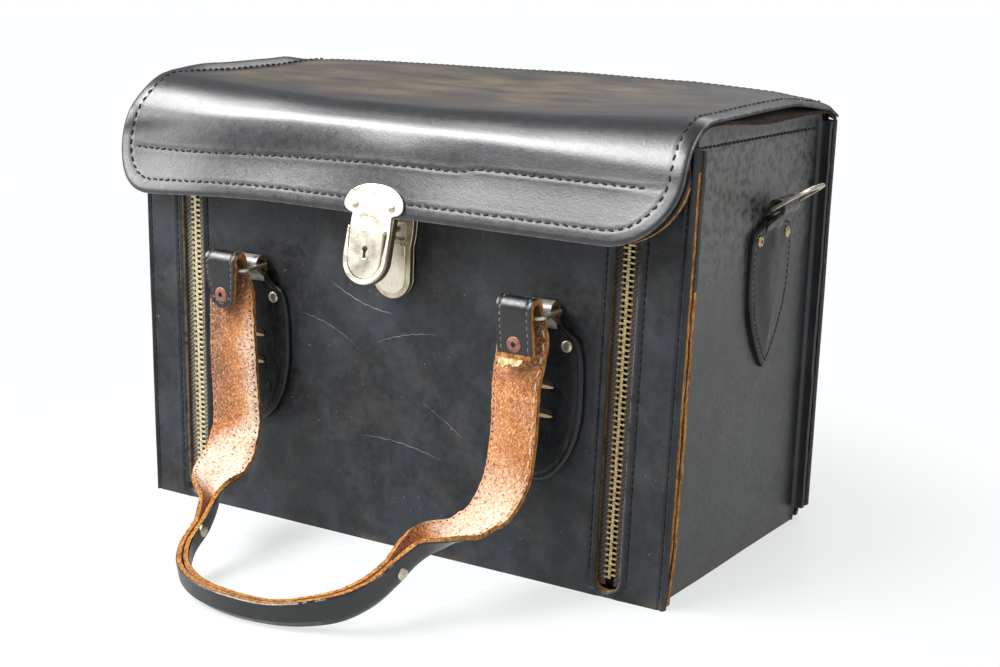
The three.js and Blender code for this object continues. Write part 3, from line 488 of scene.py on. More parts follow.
@dataclass(frozen=True)
class OpalGlass(Finish):
    """White acrylic table with a soft shine, seen nearly white and keeping the shadow."""

    colour: str = "#d2d8d7"
    glow: str = "#feffff"

    def wire(self, w: Wiring) -> None:
        """Adds a light of its own for the camera and for reflections, over the lit surface."""
        w.paint({"Base Color": linear(self.colour), "Roughness": 0.16, "Specular IOR Level": 0.35})
        path = w.node("LightPath").outputs
        seen = w.maths("MAXIMUM", path["Is Camera Ray"], path["Is Glossy Ray"])
        glow = w.node("Emission", {"Color": linear(self.glow), "Strength": 1.0}).outputs["Emission"]
        far = w.node("VectorMath", {0: w.place}, operation="LENGTH").outputs["Value"]
        share = w.product(seen, w.spread(far, 0.15, 0.36, 0.55, 1.0))
        both = w.node("MixShader", {0: share, 1: w.shader.outputs["BSDF"], 2: glow})
        output = next(n for n in w.tree.nodes if n.bl_idname == "ShaderNodeOutputMaterial")
        w.fill(output, {"Surface": both.outputs["Shader"]})


# Waxed black leathers: the box has a dull bloom, the lid is rubbed to a shine, and the worn ring loops take a pale
# grey that is painted sheen
BLACK = BridleLeather("black_bridle_leather", "black_leather")
LID = BridleLeather(
    "worn_lid_leather", "lid_leather", deep="#0d0d0f", plain="#1b1b1f",
    gloss=0.27, shine=0.95, scuffs=0.0, ripple=0.07, tooth=0.5, uneven=0.2,
)
SIDE = BridleLeather(
    "side_bridle_leather", "black_leather", plain="#191b1f",
    gloss=0.32, shine=0.68, scuffs=0.3, ripple=0.12, tooth=0.6,
)
PATCH = BridleLeather(
    "chape_bridle_leather", "black_leather", deep="#090a0b", plain="#15161a", gloss=0.30, scuffs=0.25,
)
STRAP_GRAIN = BridleLeather(
    "burnished_strap_leather", "suede", deep="#090a0b", plain="#15161a",
    gloss=0.24, shine=0.65, scuffs=0.15, ripple=0.12, tooth=0.6,
)
# Painted sheen: pale grey leather standing for the bright reflection on the loops round the rings
LOOP_PAINTED_SHEEN = BridleLeather(
    "worn_loop_leather", "black_leather", deep="#4c4841", plain="#8f8a7e",
    gloss=0.24, shine=1.0, scuffs=0.2, ripple=0.1, tooth=0.5,
)
LINING = BridleLeather(
    "brown_lining_leather", "lid_leather", deep="#1b1512", plain="#30261f", gloss=0.5, scuffs=0.2,
)
# Edges: dyed ones are matt black, burnished ones pale, raw ones show tan fibres in layers
DYED_EDGE = BridleLeather(
    "dyed_leather_edge", "black_leather", deep="#0a0a0b", plain="#161619", gloss=0.45, scuffs=0.1,
)
PALE_EDGE = BridleLeather(
    "burnished_leather_edge", "lid_leather", deep="#3a3836", plain="#77736d", gloss=0.4, scuffs=0.3,
)
RAW = CutEdge("raw_cut_edge", "raw_leather")
BROWN_EDGE = CutEdge("stained_cut_edge", "raw_leather", dark="#120c09", middle="#2a1b12", pale="#4a3020")
WINDOW_EDGE = CutEdge("brown_window_edge", "raw_leather", dark="#2e1e0e", middle="#5f421f", pale="#86642f")
TORN = CutEdge("torn_pale_leather", "suede", dark="#7c5f3a", middle="#b3986a", pale="#dccaa4")
# Flesh sides: the strap's is warm and mottled, the inside of the case brown
SUEDE = FleshSideLeather("flesh_side_strap_leather", "suede")
FLESH = FleshSideLeather(
    "flesh_side_case_leather", "black_leather",
    dark="#2a211b", middle="#4c3b2d", pale="#7a6249", grease_and_shade="#241a14",
)
# Threads: black beads on the seams, black with pale painted glints on the tabs, cream where a stitch pulled out
THREAD = WaxedThread("waxed_linen_thread", "black_leather")
# Painted highlight: pale glints mottled into the black tab thread
THREAD_PAINTED_GLINT = WaxedThread("linen_thread_painted_glint", "suede", glint="#a89c88")
# Painted shade: dark brown beads and sheets standing for the shade inside awl holes, slot cuts and washer holes
DARK_HOLE = WaxedThread("awl_hole_shadow", "suede", colour="#1a0d06", glint="#2a170b")
CREAM = WaxedThread("cream_linen_thread", "suede", colour="#b59a72", glint="#d8c29a")
TAPE = CottonTwill("cotton_twill_tape", "zip_tape")
GREY_TAPE = CottonTwill("grey_cotton_twill_tape", "zip_tape", colour="#4b443f", thread="#8d857c")
# Metals: warm plated lock, dull gold zip teeth, greyish rings and dull copper washers
BRASS = Metal(
    "aged_zip_brass", "brass", bright="#c0ac80", tarnish="#4f3f24", polish=0.28, patina=0.6, blotch_mm=2.5,
)
BRIGHT_BRASS = Metal(
    "rubbed_zip_brass", "brass", bright="#e6d8b4", tarnish="#8c7748", polish=0.3, patina=0.35, blotch_mm=2.5,
)
NICKEL = Metal(
    "warm_nickel_plate", "nickel", bright="#f2ead8", tarnish="#b3a88c", polish=0.22, patina=0.16, blotch_mm=9.0,
)
DULL_NICKEL = Metal(
    "tarnished_nickel_plate", "nickel", bright="#d8cdb4", tarnish="#7d725b", polish=0.22, patina=0.45, blotch_mm=7.0,
)
STEEL = Metal("tarnished_flat_steel", "steel", bright="#cfc7b4", tarnish="#5c5240", polish=0.28)
COPPER = Metal(
    "dull_copper_washer", "copper", bright="#a87a6c", tarnish="#5c3a30", polish=0.5, patina=0.6, blotch_mm=2.0,
)
BOARD = PressedBoard("pressed_leather_board", "board")
TABLE = OpalGlass("opal_table", "board")


def quads(rows: int, columns: int, flip: bool) -> list[tuple[int, ...]]:
    """Faces of a grid, seen from the side where rows turn to columns.

    Args:
        rows: Rows of the grid.
        columns: Columns of the grid.
        flip: Turns the faces round.

    Returns:
        Four vertex numbers for each face.
    """
    faces = []
    for r in range(rows - 1):
        for c in range(columns - 1):
            a = r * columns + c
            face = (a, a + 1, a + columns + 1, a + columns)
            faces.append(face[::-1] if flip else face)
    return faces


def band(start: int, sides: int, skip: Sequence[int] = ()) -> list[tuple[int, ...]]:
    """Faces between a ring of vertices and the next ring after it.

    Args:
        start: Number of the first ring's first vertex.
        sides: Vertices of each ring.
        skip: Sides that stay open.

    Returns:
        Four vertex numbers for each face.
    """
    following = [(i, (i + 1) % sides) for i in range(sides) if i not in skip]
    return [(start + i, start + j, start + sides + j, start + sides + i) for i, j in following]


def prism(sides: int, skip: Sequence[int] = ()) -> list[tuple[int, ...]]:
    """Faces of a prism: the far ring's, the near ring's and those between them.

    Args:
        sides: Vertices of each of its two rings.
        skip: Sides that stay open.

    Returns:
        Vertex numbers of each face.
    """
    return [tuple(range(sides, 2 * sides)), tuple(range(sides))[::-1], *band(0, sides, skip)]


def round_edges(piece: bpy.types.Object, width: float, segments: int, sharp: float) -> bpy.types.Modifier:
    """Rounds the sharp edges of an object.

    Args:
        piece: The object.
        width: Width of the rounding in millimetres.
        segments: Steps across it.
        sharp: Angle in degrees over which an edge is sharp.

    Returns:
        The modifier.
    """
    edge = piece.modifiers.new("rounded_edges", "BEVEL")
    edge.width = width * MM
    edge.segments = segments
    edge.limit_method = "ANGLE"
    edge.angle_limit = math.radians(sharp)
    edge.harden_normals = True
    return edge


@dataclass
class Draft:
    """A mesh being made: millimetre vertices, faces and the material slot of each face."""

    name: str
    finishes: Sequence[Finish]
    verts: list[Points] = field(default_factory=list)
    faces: list[tuple[int, ...]] = field(default_factory=list)
    slots: list[int] = field(default_factory=list)
    wear: list[np.ndarray] = field(default_factory=list)
    count: int = 0

    def add(self, verts: Points, faces: Sequence[Sequence[int]], slot: int = 0, wear: Any = 0.0) -> None:
        """Adds faces on new vertices.

        Args:
            verts: Places, one row each.
            faces: Vertex numbers of each face, counted from this call's first.
            slot: Which finish the faces take.
            wear: Wear of each vertex, or one for all.
        """
        flat = np.asarray(verts, float).reshape(-1, 3)
        self.verts.append(flat)
        self.wear.append(np.broadcast_to(np.asarray(wear, float).reshape(-1), (len(flat),)))
        self.count += len(flat)
        self.cover(faces, slot, self.count - len(flat))

    def cover(self, faces: Sequence[Sequence[int]], slot: int, start: int) -> None:
        """Adds faces on vertices that are there.

        Args:
            faces: Vertex numbers of each face.
            slot: Which finish the faces take.
            start: The vertex that they are counted from.
        """
        self.faces.extend(tuple(start + int(i) for i in face) for face in faces)
        self.slots.extend([slot] * len(faces))

    def grid(self, points: Grid, slot: int = 0, flip: bool = False) -> None:
        """Adds an open grid of quads.

        Args:
            points: Rows by columns of places.
            slot: Which finish it takes.
            flip: Turns the faces round.
        """
        self.add(points, quads(*points.shape[:2], flip), slot)

    def slab(self, outer: Grid, inner: Grid, slots: Sequence[int] = (0, 0, 0), wear: Any = 0.0) -> None:
        """Adds a closed sheet between two grids of the same shape.

        Args:
            outer: The face that is seen, with its rows and columns in right-hand order.
            inner: The face behind it.
            slots: Finishes of the outer face, the inner face and the rim.
            wear: Wear of the outer face.
        """
        rows, columns = outer.shape[:2]
        area = rows * columns
        worn = np.zeros(2 * area)
        worn[:area] = np.asarray(wear, float).reshape(-1)
        ring = [*range(columns)]
        ring += [r * columns + columns - 1 for r in range(1, rows)]
        ring += [(rows - 1) * columns + c for c in range(columns - 2, -1, -1)]
        ring += [r * columns for r in range(rows - 2, 0, -1)]
        rim = [(b, a, a + area, b + area) for a, b in zip(ring, ring[1:] + ring[:1])]
        back = [tuple(i + area for i in face) for face in quads(rows, columns, True)]
        start = self.count
        both = np.concatenate([outer.reshape(-1, 3), inner.reshape(-1, 3)])
        self.add(both, quads(rows, columns, False), slots[0], worn)
        self.cover(back, slots[1], start)
        self.cover(rim, slots[2], start)

    def join(self, other: "Draft") -> None:
        """Adds all of another mesh that has the same finishes."""
        self.faces.extend(tuple(i + self.count for i in face) for face in other.faces)
        self.verts.extend(other.verts)
        self.wear.extend(other.wear)
        self.slots.extend(other.slots)
        self.count += other.count

    def recolour(self, old: int, new: int, chosen: Callable[[Points], bool]) -> None:
        """Gives another finish to the faces of one finish that are at chosen places.

        Args:
            old: Slot that the faces have.
            new: Slot that they get.
            chosen: Whether a face with this middle gets it.
        """
        places = np.concatenate(self.verts)
        for k, face in enumerate(self.faces):
            if self.slots[k] == old and chosen(places[list(face)].mean(axis=0)):
                self.slots[k] = new

    def mirrored(self, name: str = "") -> "Draft":
        """Makes its mirror image for the other side of the case.

        Args:
            name: Its name, or nothing to change right into left.

        Returns:
            The mirrored mesh.
        """
        verts = [verts * [-1, 1, 1] for verts in self.verts]
        faces = [face[::-1] for face in self.faces]
        name = name or self.name.replace("right", "left")
        return Draft(name, self.finishes, verts, faces, list(self.slots), list(self.wear), self.count)

    def mesh(self, weld: bool = False) -> bpy.types.Mesh:
        """Makes the Blender mesh with its finishes and its painted wear.

        Args:
            weld: Whether places that coincide are joined.

        Returns:
            The mesh.
        """
        mesh = bpy.data.meshes.new(self.name)
        mesh.from_pydata((np.concatenate(self.verts) * MM).tolist(), [], self.faces)
        for finish in self.finishes:
            mesh.materials.append(finish.material())
        mesh.polygons.foreach_set("material_index", self.slots)
        attribute = mesh.attributes.new("wear", "FLOAT", "POINT")
        attribute.data.foreach_set("value", np.concatenate(self.wear).astype(np.float32))
        mesh.validate(clean_customdata=False)
        if weld:
            shape = bmesh.new()
            shape.from_mesh(mesh)
            bmesh.ops.remove_doubles(shape, verts=shape.verts, dist=0.01 * MM)
            shape.to_mesh(mesh)
            shape.free()
        return mesh

    def build(
        self, body: str, bevel: float = 0.0, segments: int = 2, sharp: float = 40.0,
        replaces: Sequence[str] = (), weld: bool = False,
    ) -> None:
        """Makes the Blender object, gives it its finishes and lets it ride on a body.

        Args:
            body: The CAD body that it rides on.
            bevel: Width of its rounded edges in millimetres, or 0.
            segments: Steps across a rounded edge.
            sharp: Angle in degrees over which an edge is sharp.
            replaces: CAD nodes that it stands for.
            weld: Whether places that coincide are joined.
        """
        mesh = self.mesh(weld)
        mesh.polygons.foreach_set("use_smooth", [True] * len(mesh.polygons))
        mesh.set_sharp_from_angle(angle=math.radians(sharp))
        piece = bpy.data.objects.new(self.name, mesh)
        bpy.context.scene.collection.objects.link(piece)
        if bevel:
            round_edges(piece, bevel, segments, sharp).use_clamp_overlap = True
        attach(piece, body)
        if replaces:
            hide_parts(*replaces)
        LOG.info("%s: %d vertices on %s", self.name, self.count, body)


def unit(vectors: Points) -> Points:
    """Returns vectors scaled to length one."""
    return vectors / np.maximum(np.linalg.norm(vectors, axis=-1, keepdims=True), 1e-9)


def circle(sides: int) -> np.ndarray:
    """Returns angles evenly spaced round a full turn."""
    return np.linspace(0, FULL_TURN, sides, endpoint=False)


def smoothstep(value: Any, low: float, high: float) -> Any:
    """Returns 0 below low, 1 above high and a smooth rise between."""
    share = np.clip((np.asarray(value, float) - low) / (high - low), 0, 1)
    return share * share * (3 - 2 * share)


def hump(value: Any, rise: tuple[float, float], fall: tuple[float, float]) -> Any:
    """Returns 0, a smooth rise to 1 over one stretch and a smooth fall over another."""
    return smoothstep(value, *rise) * (1 - smoothstep(value, *fall))


def wave(points: Points, size_mm: float, seed: float = 0.0) -> np.ndarray:
    """Smooth noise in -1 to 1 at millimetre places.

    Args:
        points: Places, any shape ending in three.
        size_mm: Width of one wave.
        seed: Moves the pattern.

    Returns:
        One value for each place.
    """
    flat = points.reshape(-1, 3) / size_mm + seed
    return np.array([noise.noise(Vector(p)) for p in flat]).reshape(points.shape[:-1])


def follow(path: Points, lengths: np.ndarray, want: np.ndarray) -> Points:
    """Returns the places of a path at some distances along it."""
    return np.column_stack([np.interp(want, lengths, path[:, k]) for k in range(path.shape[1])])


def distances(path: Points) -> np.ndarray:
    """Returns how far along a path each of its places is."""
    return np.concatenate([[0], np.cumsum(np.linalg.norm(np.diff(path, axis=0), axis=1))])


def even(path: Points, steps: int) -> Points:
    """Returns a path with its places spaced evenly."""
    lengths = distances(path)
    return follow(path, lengths, np.linspace(0, lengths[-1], steps))


def spline(a: Points, b: Points, c: Points, d: Points, t: float) -> Points:
    """Returns a place at share t from b to c on a smooth curve that comes from a and goes to d."""
    bend, turn = 2 * a - 5 * b + 4 * c - d, 3 * b - a - 3 * c + d
    return 0.5 * (2 * b + (c - a) * t + bend * t**2 + turn * t**3)


@dataclass(frozen=True)
class CaseForm:
    """Sizes of the leaning box, in millimetres, as the CAD has them."""

    half_width: float = 173.5
    half_depth: float = 90.0
    height: float = 248.0
    flare: float = 7.2
    lean: float = 10.0
    leather: float = 3.0
    flange: float = 180.0
    zip_x: float = 144.6
    window: float = 7.2

    def place(self, points: Points) -> Points:
        """Moves upright places to where they are in the leaning box.

        Args:
            points: Places in millimetres, any shape ending in three.

        Returns:
            The moved places.
        """
        p = np.array(points, float)
        rise = p[..., 2] / self.height
        layer = -self.half_depth + 4 * self.leather
        share = np.clip((self.half_depth - p[..., 1]) / (self.half_depth - layer), 0, 1)
        p[..., 0] *= 1 + rise * self.flare / self.half_width
        p[..., 1] += rise * self.lean * share
        return p


FORM = CaseForm()


@dataclass(frozen=True)
class Lamp:
    """A soft rectangular lamp: where it hangs and what it faces, in metres."""

    name: str
    place: Triple
    size: tuple[float, float]
    watts: float
    aim: Triple = (0.0, 0.0, 0.14)

    def hang(self) -> None:
        """Adds the lamp to the scene."""
        data = bpy.data.lights.new(self.name, "AREA")
        data.shape = "RECTANGLE"
        data.size, data.size_y = self.size
        data.energy = self.watts
        lamp = bpy.data.objects.new(self.name, data)
        lamp.location = self.place
        lamp.rotation_euler = (Vector(self.place) - Vector(self.aim)).to_track_quat("Z", "Y").to_euler()
        bpy.context.scene.collection.objects.link(lamp)


@dataclass
class Studio:
    """Table, lamps, world and the camera at the photograph's viewpoint."""

    eye: Triple = (0.6398, -0.9458, 0.4001)
    azimuth: float = 33.37
    elevation: float = 14.42
    roll: float = 0.24
    lens: float = 70.8
    table_half: float = 6000.0
    lamps: tuple[Lamp, ...] = (
        Lamp("key_softbox", (-1.05, -1.20, 1.48), (1.8, 0.85), 68.0),
        Lamp("left_softbox", (-1.10, -0.54, 1.60), (1.0, 0.75), 24.0),
        Lamp("left_strip", (-1.80, -0.90, 0.62), (0.4, 0.45), 9.0),
        Lamp("rear_softbox", (0.2, 1.3, 1.5), (1.8, 0.8), 14.0),
        Lamp("right_fill", (0.95, -0.05, 1.0), (0.6, 0.5), 6.0, (0.17, 0.0, 0.24)),
    )

    def camera(self) -> None:
        """Puts the camera where the photograph was taken from."""
        data = bpy.data.cameras.new("photo_camera")
        data.lens = self.lens
        data.sensor_width = 36.0
        data.clip_end = 20.0
        eye = bpy.data.objects.new("photo_camera", data)
        a, e, r = (math.radians(v) for v in (self.azimuth, self.elevation, self.roll))
        back = Vector((math.sin(a) * math.cos(e), -math.cos(a) * math.cos(e), math.sin(e)))
        right = Vector((0, 0, 1)).cross(back).normalized()
        up = back.cross(right)
        across = right * math.cos(r) + up * math.sin(r)
        upward = up * math.cos(r) - right * math.sin(r)
        rows = [[across[i], upward[i], back[i], self.eye[i]] for i in range(3)]
        eye.matrix_world = Matrix([*rows, [0, 0, 0, 1]])
        bpy.context.scene.collection.objects.link(eye)
        bpy.context.scene.camera = eye

    def world(self) -> None:
        """Lights softly all round and shows the camera plain white."""
        world = bpy.data.worlds.new("white_studio")
        world.use_nodes = True
        world.node_tree.nodes.clear()
        w = Wiring(world.node_tree)
        path = w.node("LightPath").outputs
        seen = w.node("Background", {"Color": (1, 1, 1, 1), "Strength": 1.0})
        bounce = w.spread(path["Is Glossy Ray"], 0.0, 1.0, 0.30, 0.38)
        fill = w.node("Background", {"Color": linear("#eef2f6"), "Strength": bounce})
        mixed = w.node("MixShader", {0: path["Is Camera Ray"], 1: fill.outputs[0], 2: seen.outputs[0]})
        w.node("OutputWorld", {"Surface": mixed.outputs[0]})
        bpy.context.scene.world = world

    def table(self) -> None:
        """Lays the opal table under the case."""
        draft = Draft("table_top", [TABLE])
        ends = (-self.table_half, self.table_half)
        draft.grid(np.array([[[x, y, 0.0] for x in ends] for y in ends]))
        top = bpy.data.objects.new(draft.name, draft.mesh())
        bpy.context.scene.collection.objects.link(top)

    def build(self) -> None:
        """Sets up the whole studio."""
        self.camera()
        self.world()
        self.table()
        for lamp in self.lamps:
            lamp.hang()
        bpy.context.scene.view_settings.view_transform = "Standard"


@dataclass(frozen=True)
class Wall:
    """A wall of the leaning box, with places given across it, up it and out from it."""

    face: Face
    centre: float = 0.0

    def place(self, points: Points) -> Points:
        """Turns places across, up and out into places of the frame.

        Args:
            points: Rows of across, up and out in millimetres.

        Returns:
            Places in millimetres, any shape ending in three.
        """
        across, up, out = points[..., 0], points[..., 1], points[..., 2]
        if self.face is Face.FRONT:
            upright = (self.centre + across, -(FORM.half_depth + out), up)
        elif self.face is Face.REAR:
            upright = (self.centre - across, FORM.half_depth + out, up)
        else:
            upright = (FORM.half_width + out, self.centre + across, up)
        return FORM.place(np.stack(upright, axis=-1))

    def lifted(self, across: Any, up: Any, out: Any) -> Points:
        """Returns the places of separate arrays across, up and out."""
        return self.place(np.stack(np.broadcast_arrays(np.asarray(across, float), up, out), axis=-1))

    def sew(self, draft: Draft, seam: "Seam", across: Any, up: Any, out: Any, slot: int = 3) -> None:
        """Sews a row of stitches on this wall.

        Args:
            draft: The mesh to add to.
            seam: The kind of stitches.
            across: Path of the row across the wall.
            up: Its heights.
            out: How far out the surface is there.
            slot: Finish of the thread.
        """
        path = self.lifted(across, up, out)
        normals = unit(self.lifted(across, up, np.asarray(out) + 1.0) - path)
        seam.sew(draft, path, normals, slot)


@dataclass(frozen=True)
class Seam:
    """A row of saddle stitches, each a short bead of thread lying in a groove."""

    pitch: float = 4.3
    length: float = 3.5
    radius: float = 0.5
    lift: float = 0.05
    sway: float = 0.12
    sides: int = 6
    rings: tuple[tuple[float, float], ...] = ((-0.36, 0.75), (0.0, 1.0), (0.36, 0.75))

    def faces(self) -> list[tuple[int, ...]]:
        """Faces of one stitch: a fan at its start, bands between its rings, a fan at its end.

        Returns:
            Vertex numbers of each face.
        """
        n = self.sides
        last = 1 + n * (len(self.rings) - 1)
        faces = [(0, 1 + (i + 1) % n, 1 + i) for i in range(n)]
        for start in range(1, last, n):
            faces += band(start, n)
        return faces + [(last + i, last + (i + 1) % n, last + n) for i in range(n)]

    def sew(self, draft: Draft, path: Points, normals: Points, slot: int = 0) -> None:
        """Adds the stitches along a path.

        Args:
            draft: The mesh to add to.
            path: Places of the row, in millimetres.
            normals: Which way is out of the leather at each place.
            slot: Finish of the thread.
        """
        lengths = distances(path)
        count = max(1, int(lengths[-1] / self.pitch))
        middles = (np.arange(count) + 0.5) * lengths[-1] / count
        centre = follow(path, lengths, middles)
        out = unit(follow(normals, lengths, middles))
        along = unit(follow(path, lengths, middles + 0.5) - follow(path, lengths, middles - 0.5))
        across = np.cross(out, along)
        turn = self.sway * np.sin(middles * 3.7)[:, None]
        along, across = unit(along + across * turn), unit(across - along * turn)
        angles, faces = circle(self.sides), self.faces()
        for middle, a, b, c in zip(centre, along, across, out):
            sunk = middle + c * (self.lift - self.radius * 0.7)
            ring = np.outer(np.cos(angles), b) + np.outer(np.sin(angles), c)
            bead = [
                middle + a * share * self.length + c * self.lift + ring * self.radius * size
                for share, size in self.rings
            ]
            half = a * self.length / 2
            draft.add(np.vstack([sunk - half, *bead, sunk + half]), faces, slot)


SEAM = Seam()
LID_SEAM = Seam(pitch=5.4, length=3.8, radius=0.70, sway=0.3)
REAR_SEAM = Seam(pitch=4.6, length=3.4, radius=0.45, lift=-0.12)
FINE_SEAM = Seam(pitch=3.4, length=2.5, radius=0.4)
SIDE_SEAM = Seam(length=3.1, radius=0.8)
TAB_SEAM = Seam(pitch=3.6, length=2.6, radius=0.42)
POINT_SEAM = Seam(pitch=2.6, length=2.0, radius=0.42)
AWL_HOLES = Seam(pitch=4.2, length=1.3, radius=0.6, lift=-0.15)
LOOSE_SEAM = Seam(pitch=7.0, length=4.4, radius=0.6, lift=0.15, sway=0.2)


def stations(low: float, high: float, step: float, lines: Sequence[float] = ()) -> np.ndarray:
    """Places from low to high, closer together near lines where the surface changes.

    Args:
        low: The first place.
        high: The last place.
        step: Usual distance between places.
        lines: Places that need finer steps.

    Returns:
        Rising places.
    """
    coarse = np.linspace(low, high, max(2, round((high - low) / step) + 1))
    near = np.array([-2.6, -1.8, -1.1, -0.55, 0, 0.55, 1.1, 1.8, 2.6])
    fine = [line + near for line in lines]
    every = np.sort(np.clip(np.concatenate([coarse, *fine]), low, high))
    kept = [every[0]]
    for value in every[1:]:
        if value - kept[-1] > 0.3:
            kept.append(value)
    kept[-1] = high
    return np.array(kept)


def groove(distance: Any, depth: float = 0.4, width: float = 0.7, swell: float = 0.12) -> Any:
    """Returns the height of leather that stitches pull down, with a slight swell beside them."""
    d = np.asarray(distance) / width
    return -depth * np.exp(-d * d) + swell * np.exp(-((np.abs(d) - 2.2) ** 2))


@dataclass
class LidAssembly:
    """The sagging lid: a worn outer leather, its lining and its rows of stitches."""

    half_width: float = 187.0
    rear: tuple[float, float] = (91.5, 253.96)
    slope: float = 4.6 / 180
    lip: tuple[float, float] = (-106.0, 196.0)
    lean: float = 16.2
    bend: tuple[float, float, float] = (43.0, 21.5, 36.0)
    corner: tuple[float, float] = (27.0, 40.0)
    outer: float = 2.6
    gap: float = 0.3
    lining: float = 1.8
    inset: float = 1.2
    edge_seam: float = 8.0
    cross_seam: float = 30.0
    spots: tuple[float, ...] = (-190, -122, -44, 29, 97, 149, 187)
    rear_lift: tuple[float, ...] = (-3.4, -1.0, 0.4, 1.7, 1.8, -0.2, -4.4)
    middle_lift: tuple[float, ...] = (-0.8, -2.4, -3.6, -3.4, -1.8, 0.6, 2.8)
    ridge_lift: tuple[float, ...] = (-0.6, -3.6, -6.0, -5.6, -3.6, -0.6, 2.0)

    def flap_length(self, x: Any) -> Any:
        """Length of the flat flap under the bend, at each x."""
        return self.corner_to_lip() - self.radius(x) * self.tangent()

    def tangent(self) -> float:
        """Distance from a sharp corner to where a bend of radius one starts."""
        return math.tan(self.bend_angle() / 2)

    def bend_angle(self) -> float:
        """How far the lid turns from its top to its flap, in radians."""
        return math.radians(90 - self.lean) + math.atan(self.slope)

    def radius(self, x: Any) -> Any:
        """Bend radius, which is larger towards both ends than in the middle."""
        left = np.clip((-40 - np.asarray(x)) / 150, 0, 1) ** 2
        right = np.clip((np.asarray(x) - 10) / 177, 0, 1) ** 1.6
        return self.bend[1] + (self.bend[0] - self.bend[1]) * left + (self.bend[2] - self.bend[1]) * right

    def sharp_corner(self) -> tuple[float, float]:
        """Where the top and the flap would meet without the bend."""
        lean = math.radians(self.lean)
        down = (-math.sin(lean), -math.cos(lean))
        along = (-1.0, self.slope)
        gap = (self.lip[0] - self.rear[0], self.lip[1] - self.rear[1])
        share = (gap[0] * down[1] - gap[1] * down[0]) / (along[0] * down[1] - along[1] * down[0])
        return self.rear[0] + along[0] * share, self.rear[1] + along[1] * share

    def corner_to_lip(self) -> float:
        """Distance from that corner down to the lip."""
        corner = self.sharp_corner()
        return math.hypot(corner[0] - self.lip[0], corner[1] - self.lip[1])

    def left_share(self, x: Any) -> Any:
        """How much the left end of the flap droops, at each x."""
        return smoothstep(-np.asarray(x), 60, self.half_width)

    def surface(self, x: Any, t: Any, depth: float = 0.0) -> Points:
        """Places on the lid.

        Args:
            x: Across the lid.
            t: 0 to 1 over the top, 1 to 2 round the bend, 2 to 3 down the flap.
            depth: How deep under the outer face.

        Returns:
            Places in millimetres.
        """
        x, t = np.broadcast_arrays(np.asarray(x, float), np.asarray(t, float))
        y, z = self.section(x, t, depth)
        hang = smoothstep(t, 1.9, 3.0)
        turned = 8.0 * smoothstep(-x, 105, 215) * smoothstep(t, 1.3, 2.2)
        low = 5.0 * self.left_share(x) * hang + 0.42 * turned * hang
        return np.stack([x - 1.6 * turned, y + turned, z + self.lift(x, t) - low], axis=-1)

    def section(self, x: np.ndarray, t: np.ndarray, depth: float) -> tuple[np.ndarray, np.ndarray]:
        """Side view of the lid before it sags: its top, its bend and its flap.

        Args:
            x: Across the lid.
            t: Stage along it, as for surface.
            depth: How deep under the outer face.

        Returns:
            Arrays of y and z in millimetres.
        """
        radius = self.radius(x)
        tilt, lean = math.atan(self.slope), math.radians(self.lean)
        along = np.array([-math.cos(tilt), math.sin(tilt)])
        inward = np.array([-math.sin(tilt), -math.cos(tilt)])
        start = np.array(self.sharp_corner()) - along * (radius * self.tangent())[..., None]
        centre = start + inward * radius[..., None]
        share = np.clip(t, 0, 1)[..., None]
        top = np.array(self.rear) * (1 - share) + start * share + inward * depth
        turn = np.clip(t - 1, 0, 1) * self.bend_angle()
        spoke = np.stack([np.sin(tilt - turn), np.cos(tilt - turn)], axis=-1)
        bend = centre + spoke * (radius - depth)[..., None]
        down = np.array([-math.sin(lean), -math.cos(lean)])
        out = np.array([-math.cos(lean), math.sin(lean)])
        drop = np.clip(t - 2, 0, 2) * self.flap_length(x)
        flap = centre + out * (radius - depth)[..., None] + down * drop[..., None]
        whole = np.where((t < 1)[..., None], top, np.where((t < 2)[..., None], bend, flap))
        return whole[..., 0], whole[..., 1]

    def lift(self, x: np.ndarray, t: np.ndarray) -> np.ndarray:
        """How far the tired leather stands up (above 0) or sags (below 0).

        Args:
            x: Across the lid.
            t: Stage along it, as for surface.

        Returns:
            Millimetres for each place.
        """
        rows = (self.rear_lift, self.middle_lift, self.ridge_lift)
        rear, middle, ridge = (np.interp(x, self.spots, row) for row in rows)
        early, late = smoothstep(t, 0, 0.45), smoothstep(t, 0.55, 1.0)
        lift = rear * (1 - early) + middle * (early - late) + ridge * late
        curl = smoothstep(-x, 176, 187) * hump(t, (0.1, 0.3), (0.75, 1.1))
        right_edge = smoothstep(x, self.half_width - self.edge_seam, self.half_width + 1)
        droop = 1.2 * right_edge * (1 - smoothstep(t, 1.0, 2.0))
        droop = droop + 3.0 * smoothstep(-x, 150, 172) * hump(t, (0.1, 0.4), (0.6, 1.1))
        back = 4.5 * smoothstep(np.abs(x), 171, 180) * (1 - smoothstep(t, 0, 0.07))
        return (lift + 4.6 * curl) * (1 - smoothstep(t, 1.2, 2.4)) - droop - back

    def normal(self, x: Any, t: Any) -> Points:
        """Which way is out of the lid at places on it."""
        side = self.surface(np.asarray(x) + 0.5, t) - self.surface(np.asarray(x) - 0.5, t)
        down = self.surface(x, np.asarray(t) + 0.01) - self.surface(x, np.asarray(t) - 0.01)
        return unit(np.cross(down, side))

    def lengths(self, x: Any) -> tuple[Any, Any, Any]:
        """Lengths of the flat flap, of the bend and of the top, at each x."""
        bend = self.radius(x) * self.bend_angle()
        corner = self.sharp_corner()
        whole = math.hypot(self.rear[0] - corner[0], self.rear[1] - corner[1])
        return self.flap_length(x), bend, whole - self.radius(x) * self.tangent()

    def stage(self, x: Any, above: Any) -> Any:
        """Turns distance above the lip, measured on the leather, into the stage along the lid."""
        flap, bend, top = self.lengths(x)
        on_flap = 3 - above / flap
        on_bend = 2 - (above - flap) / bend
        on_top = 1 - (above - flap - bend) / top
        return np.where(above < flap, on_flap, np.where(above < flap + bend, on_bend, np.maximum(on_top, 0)))

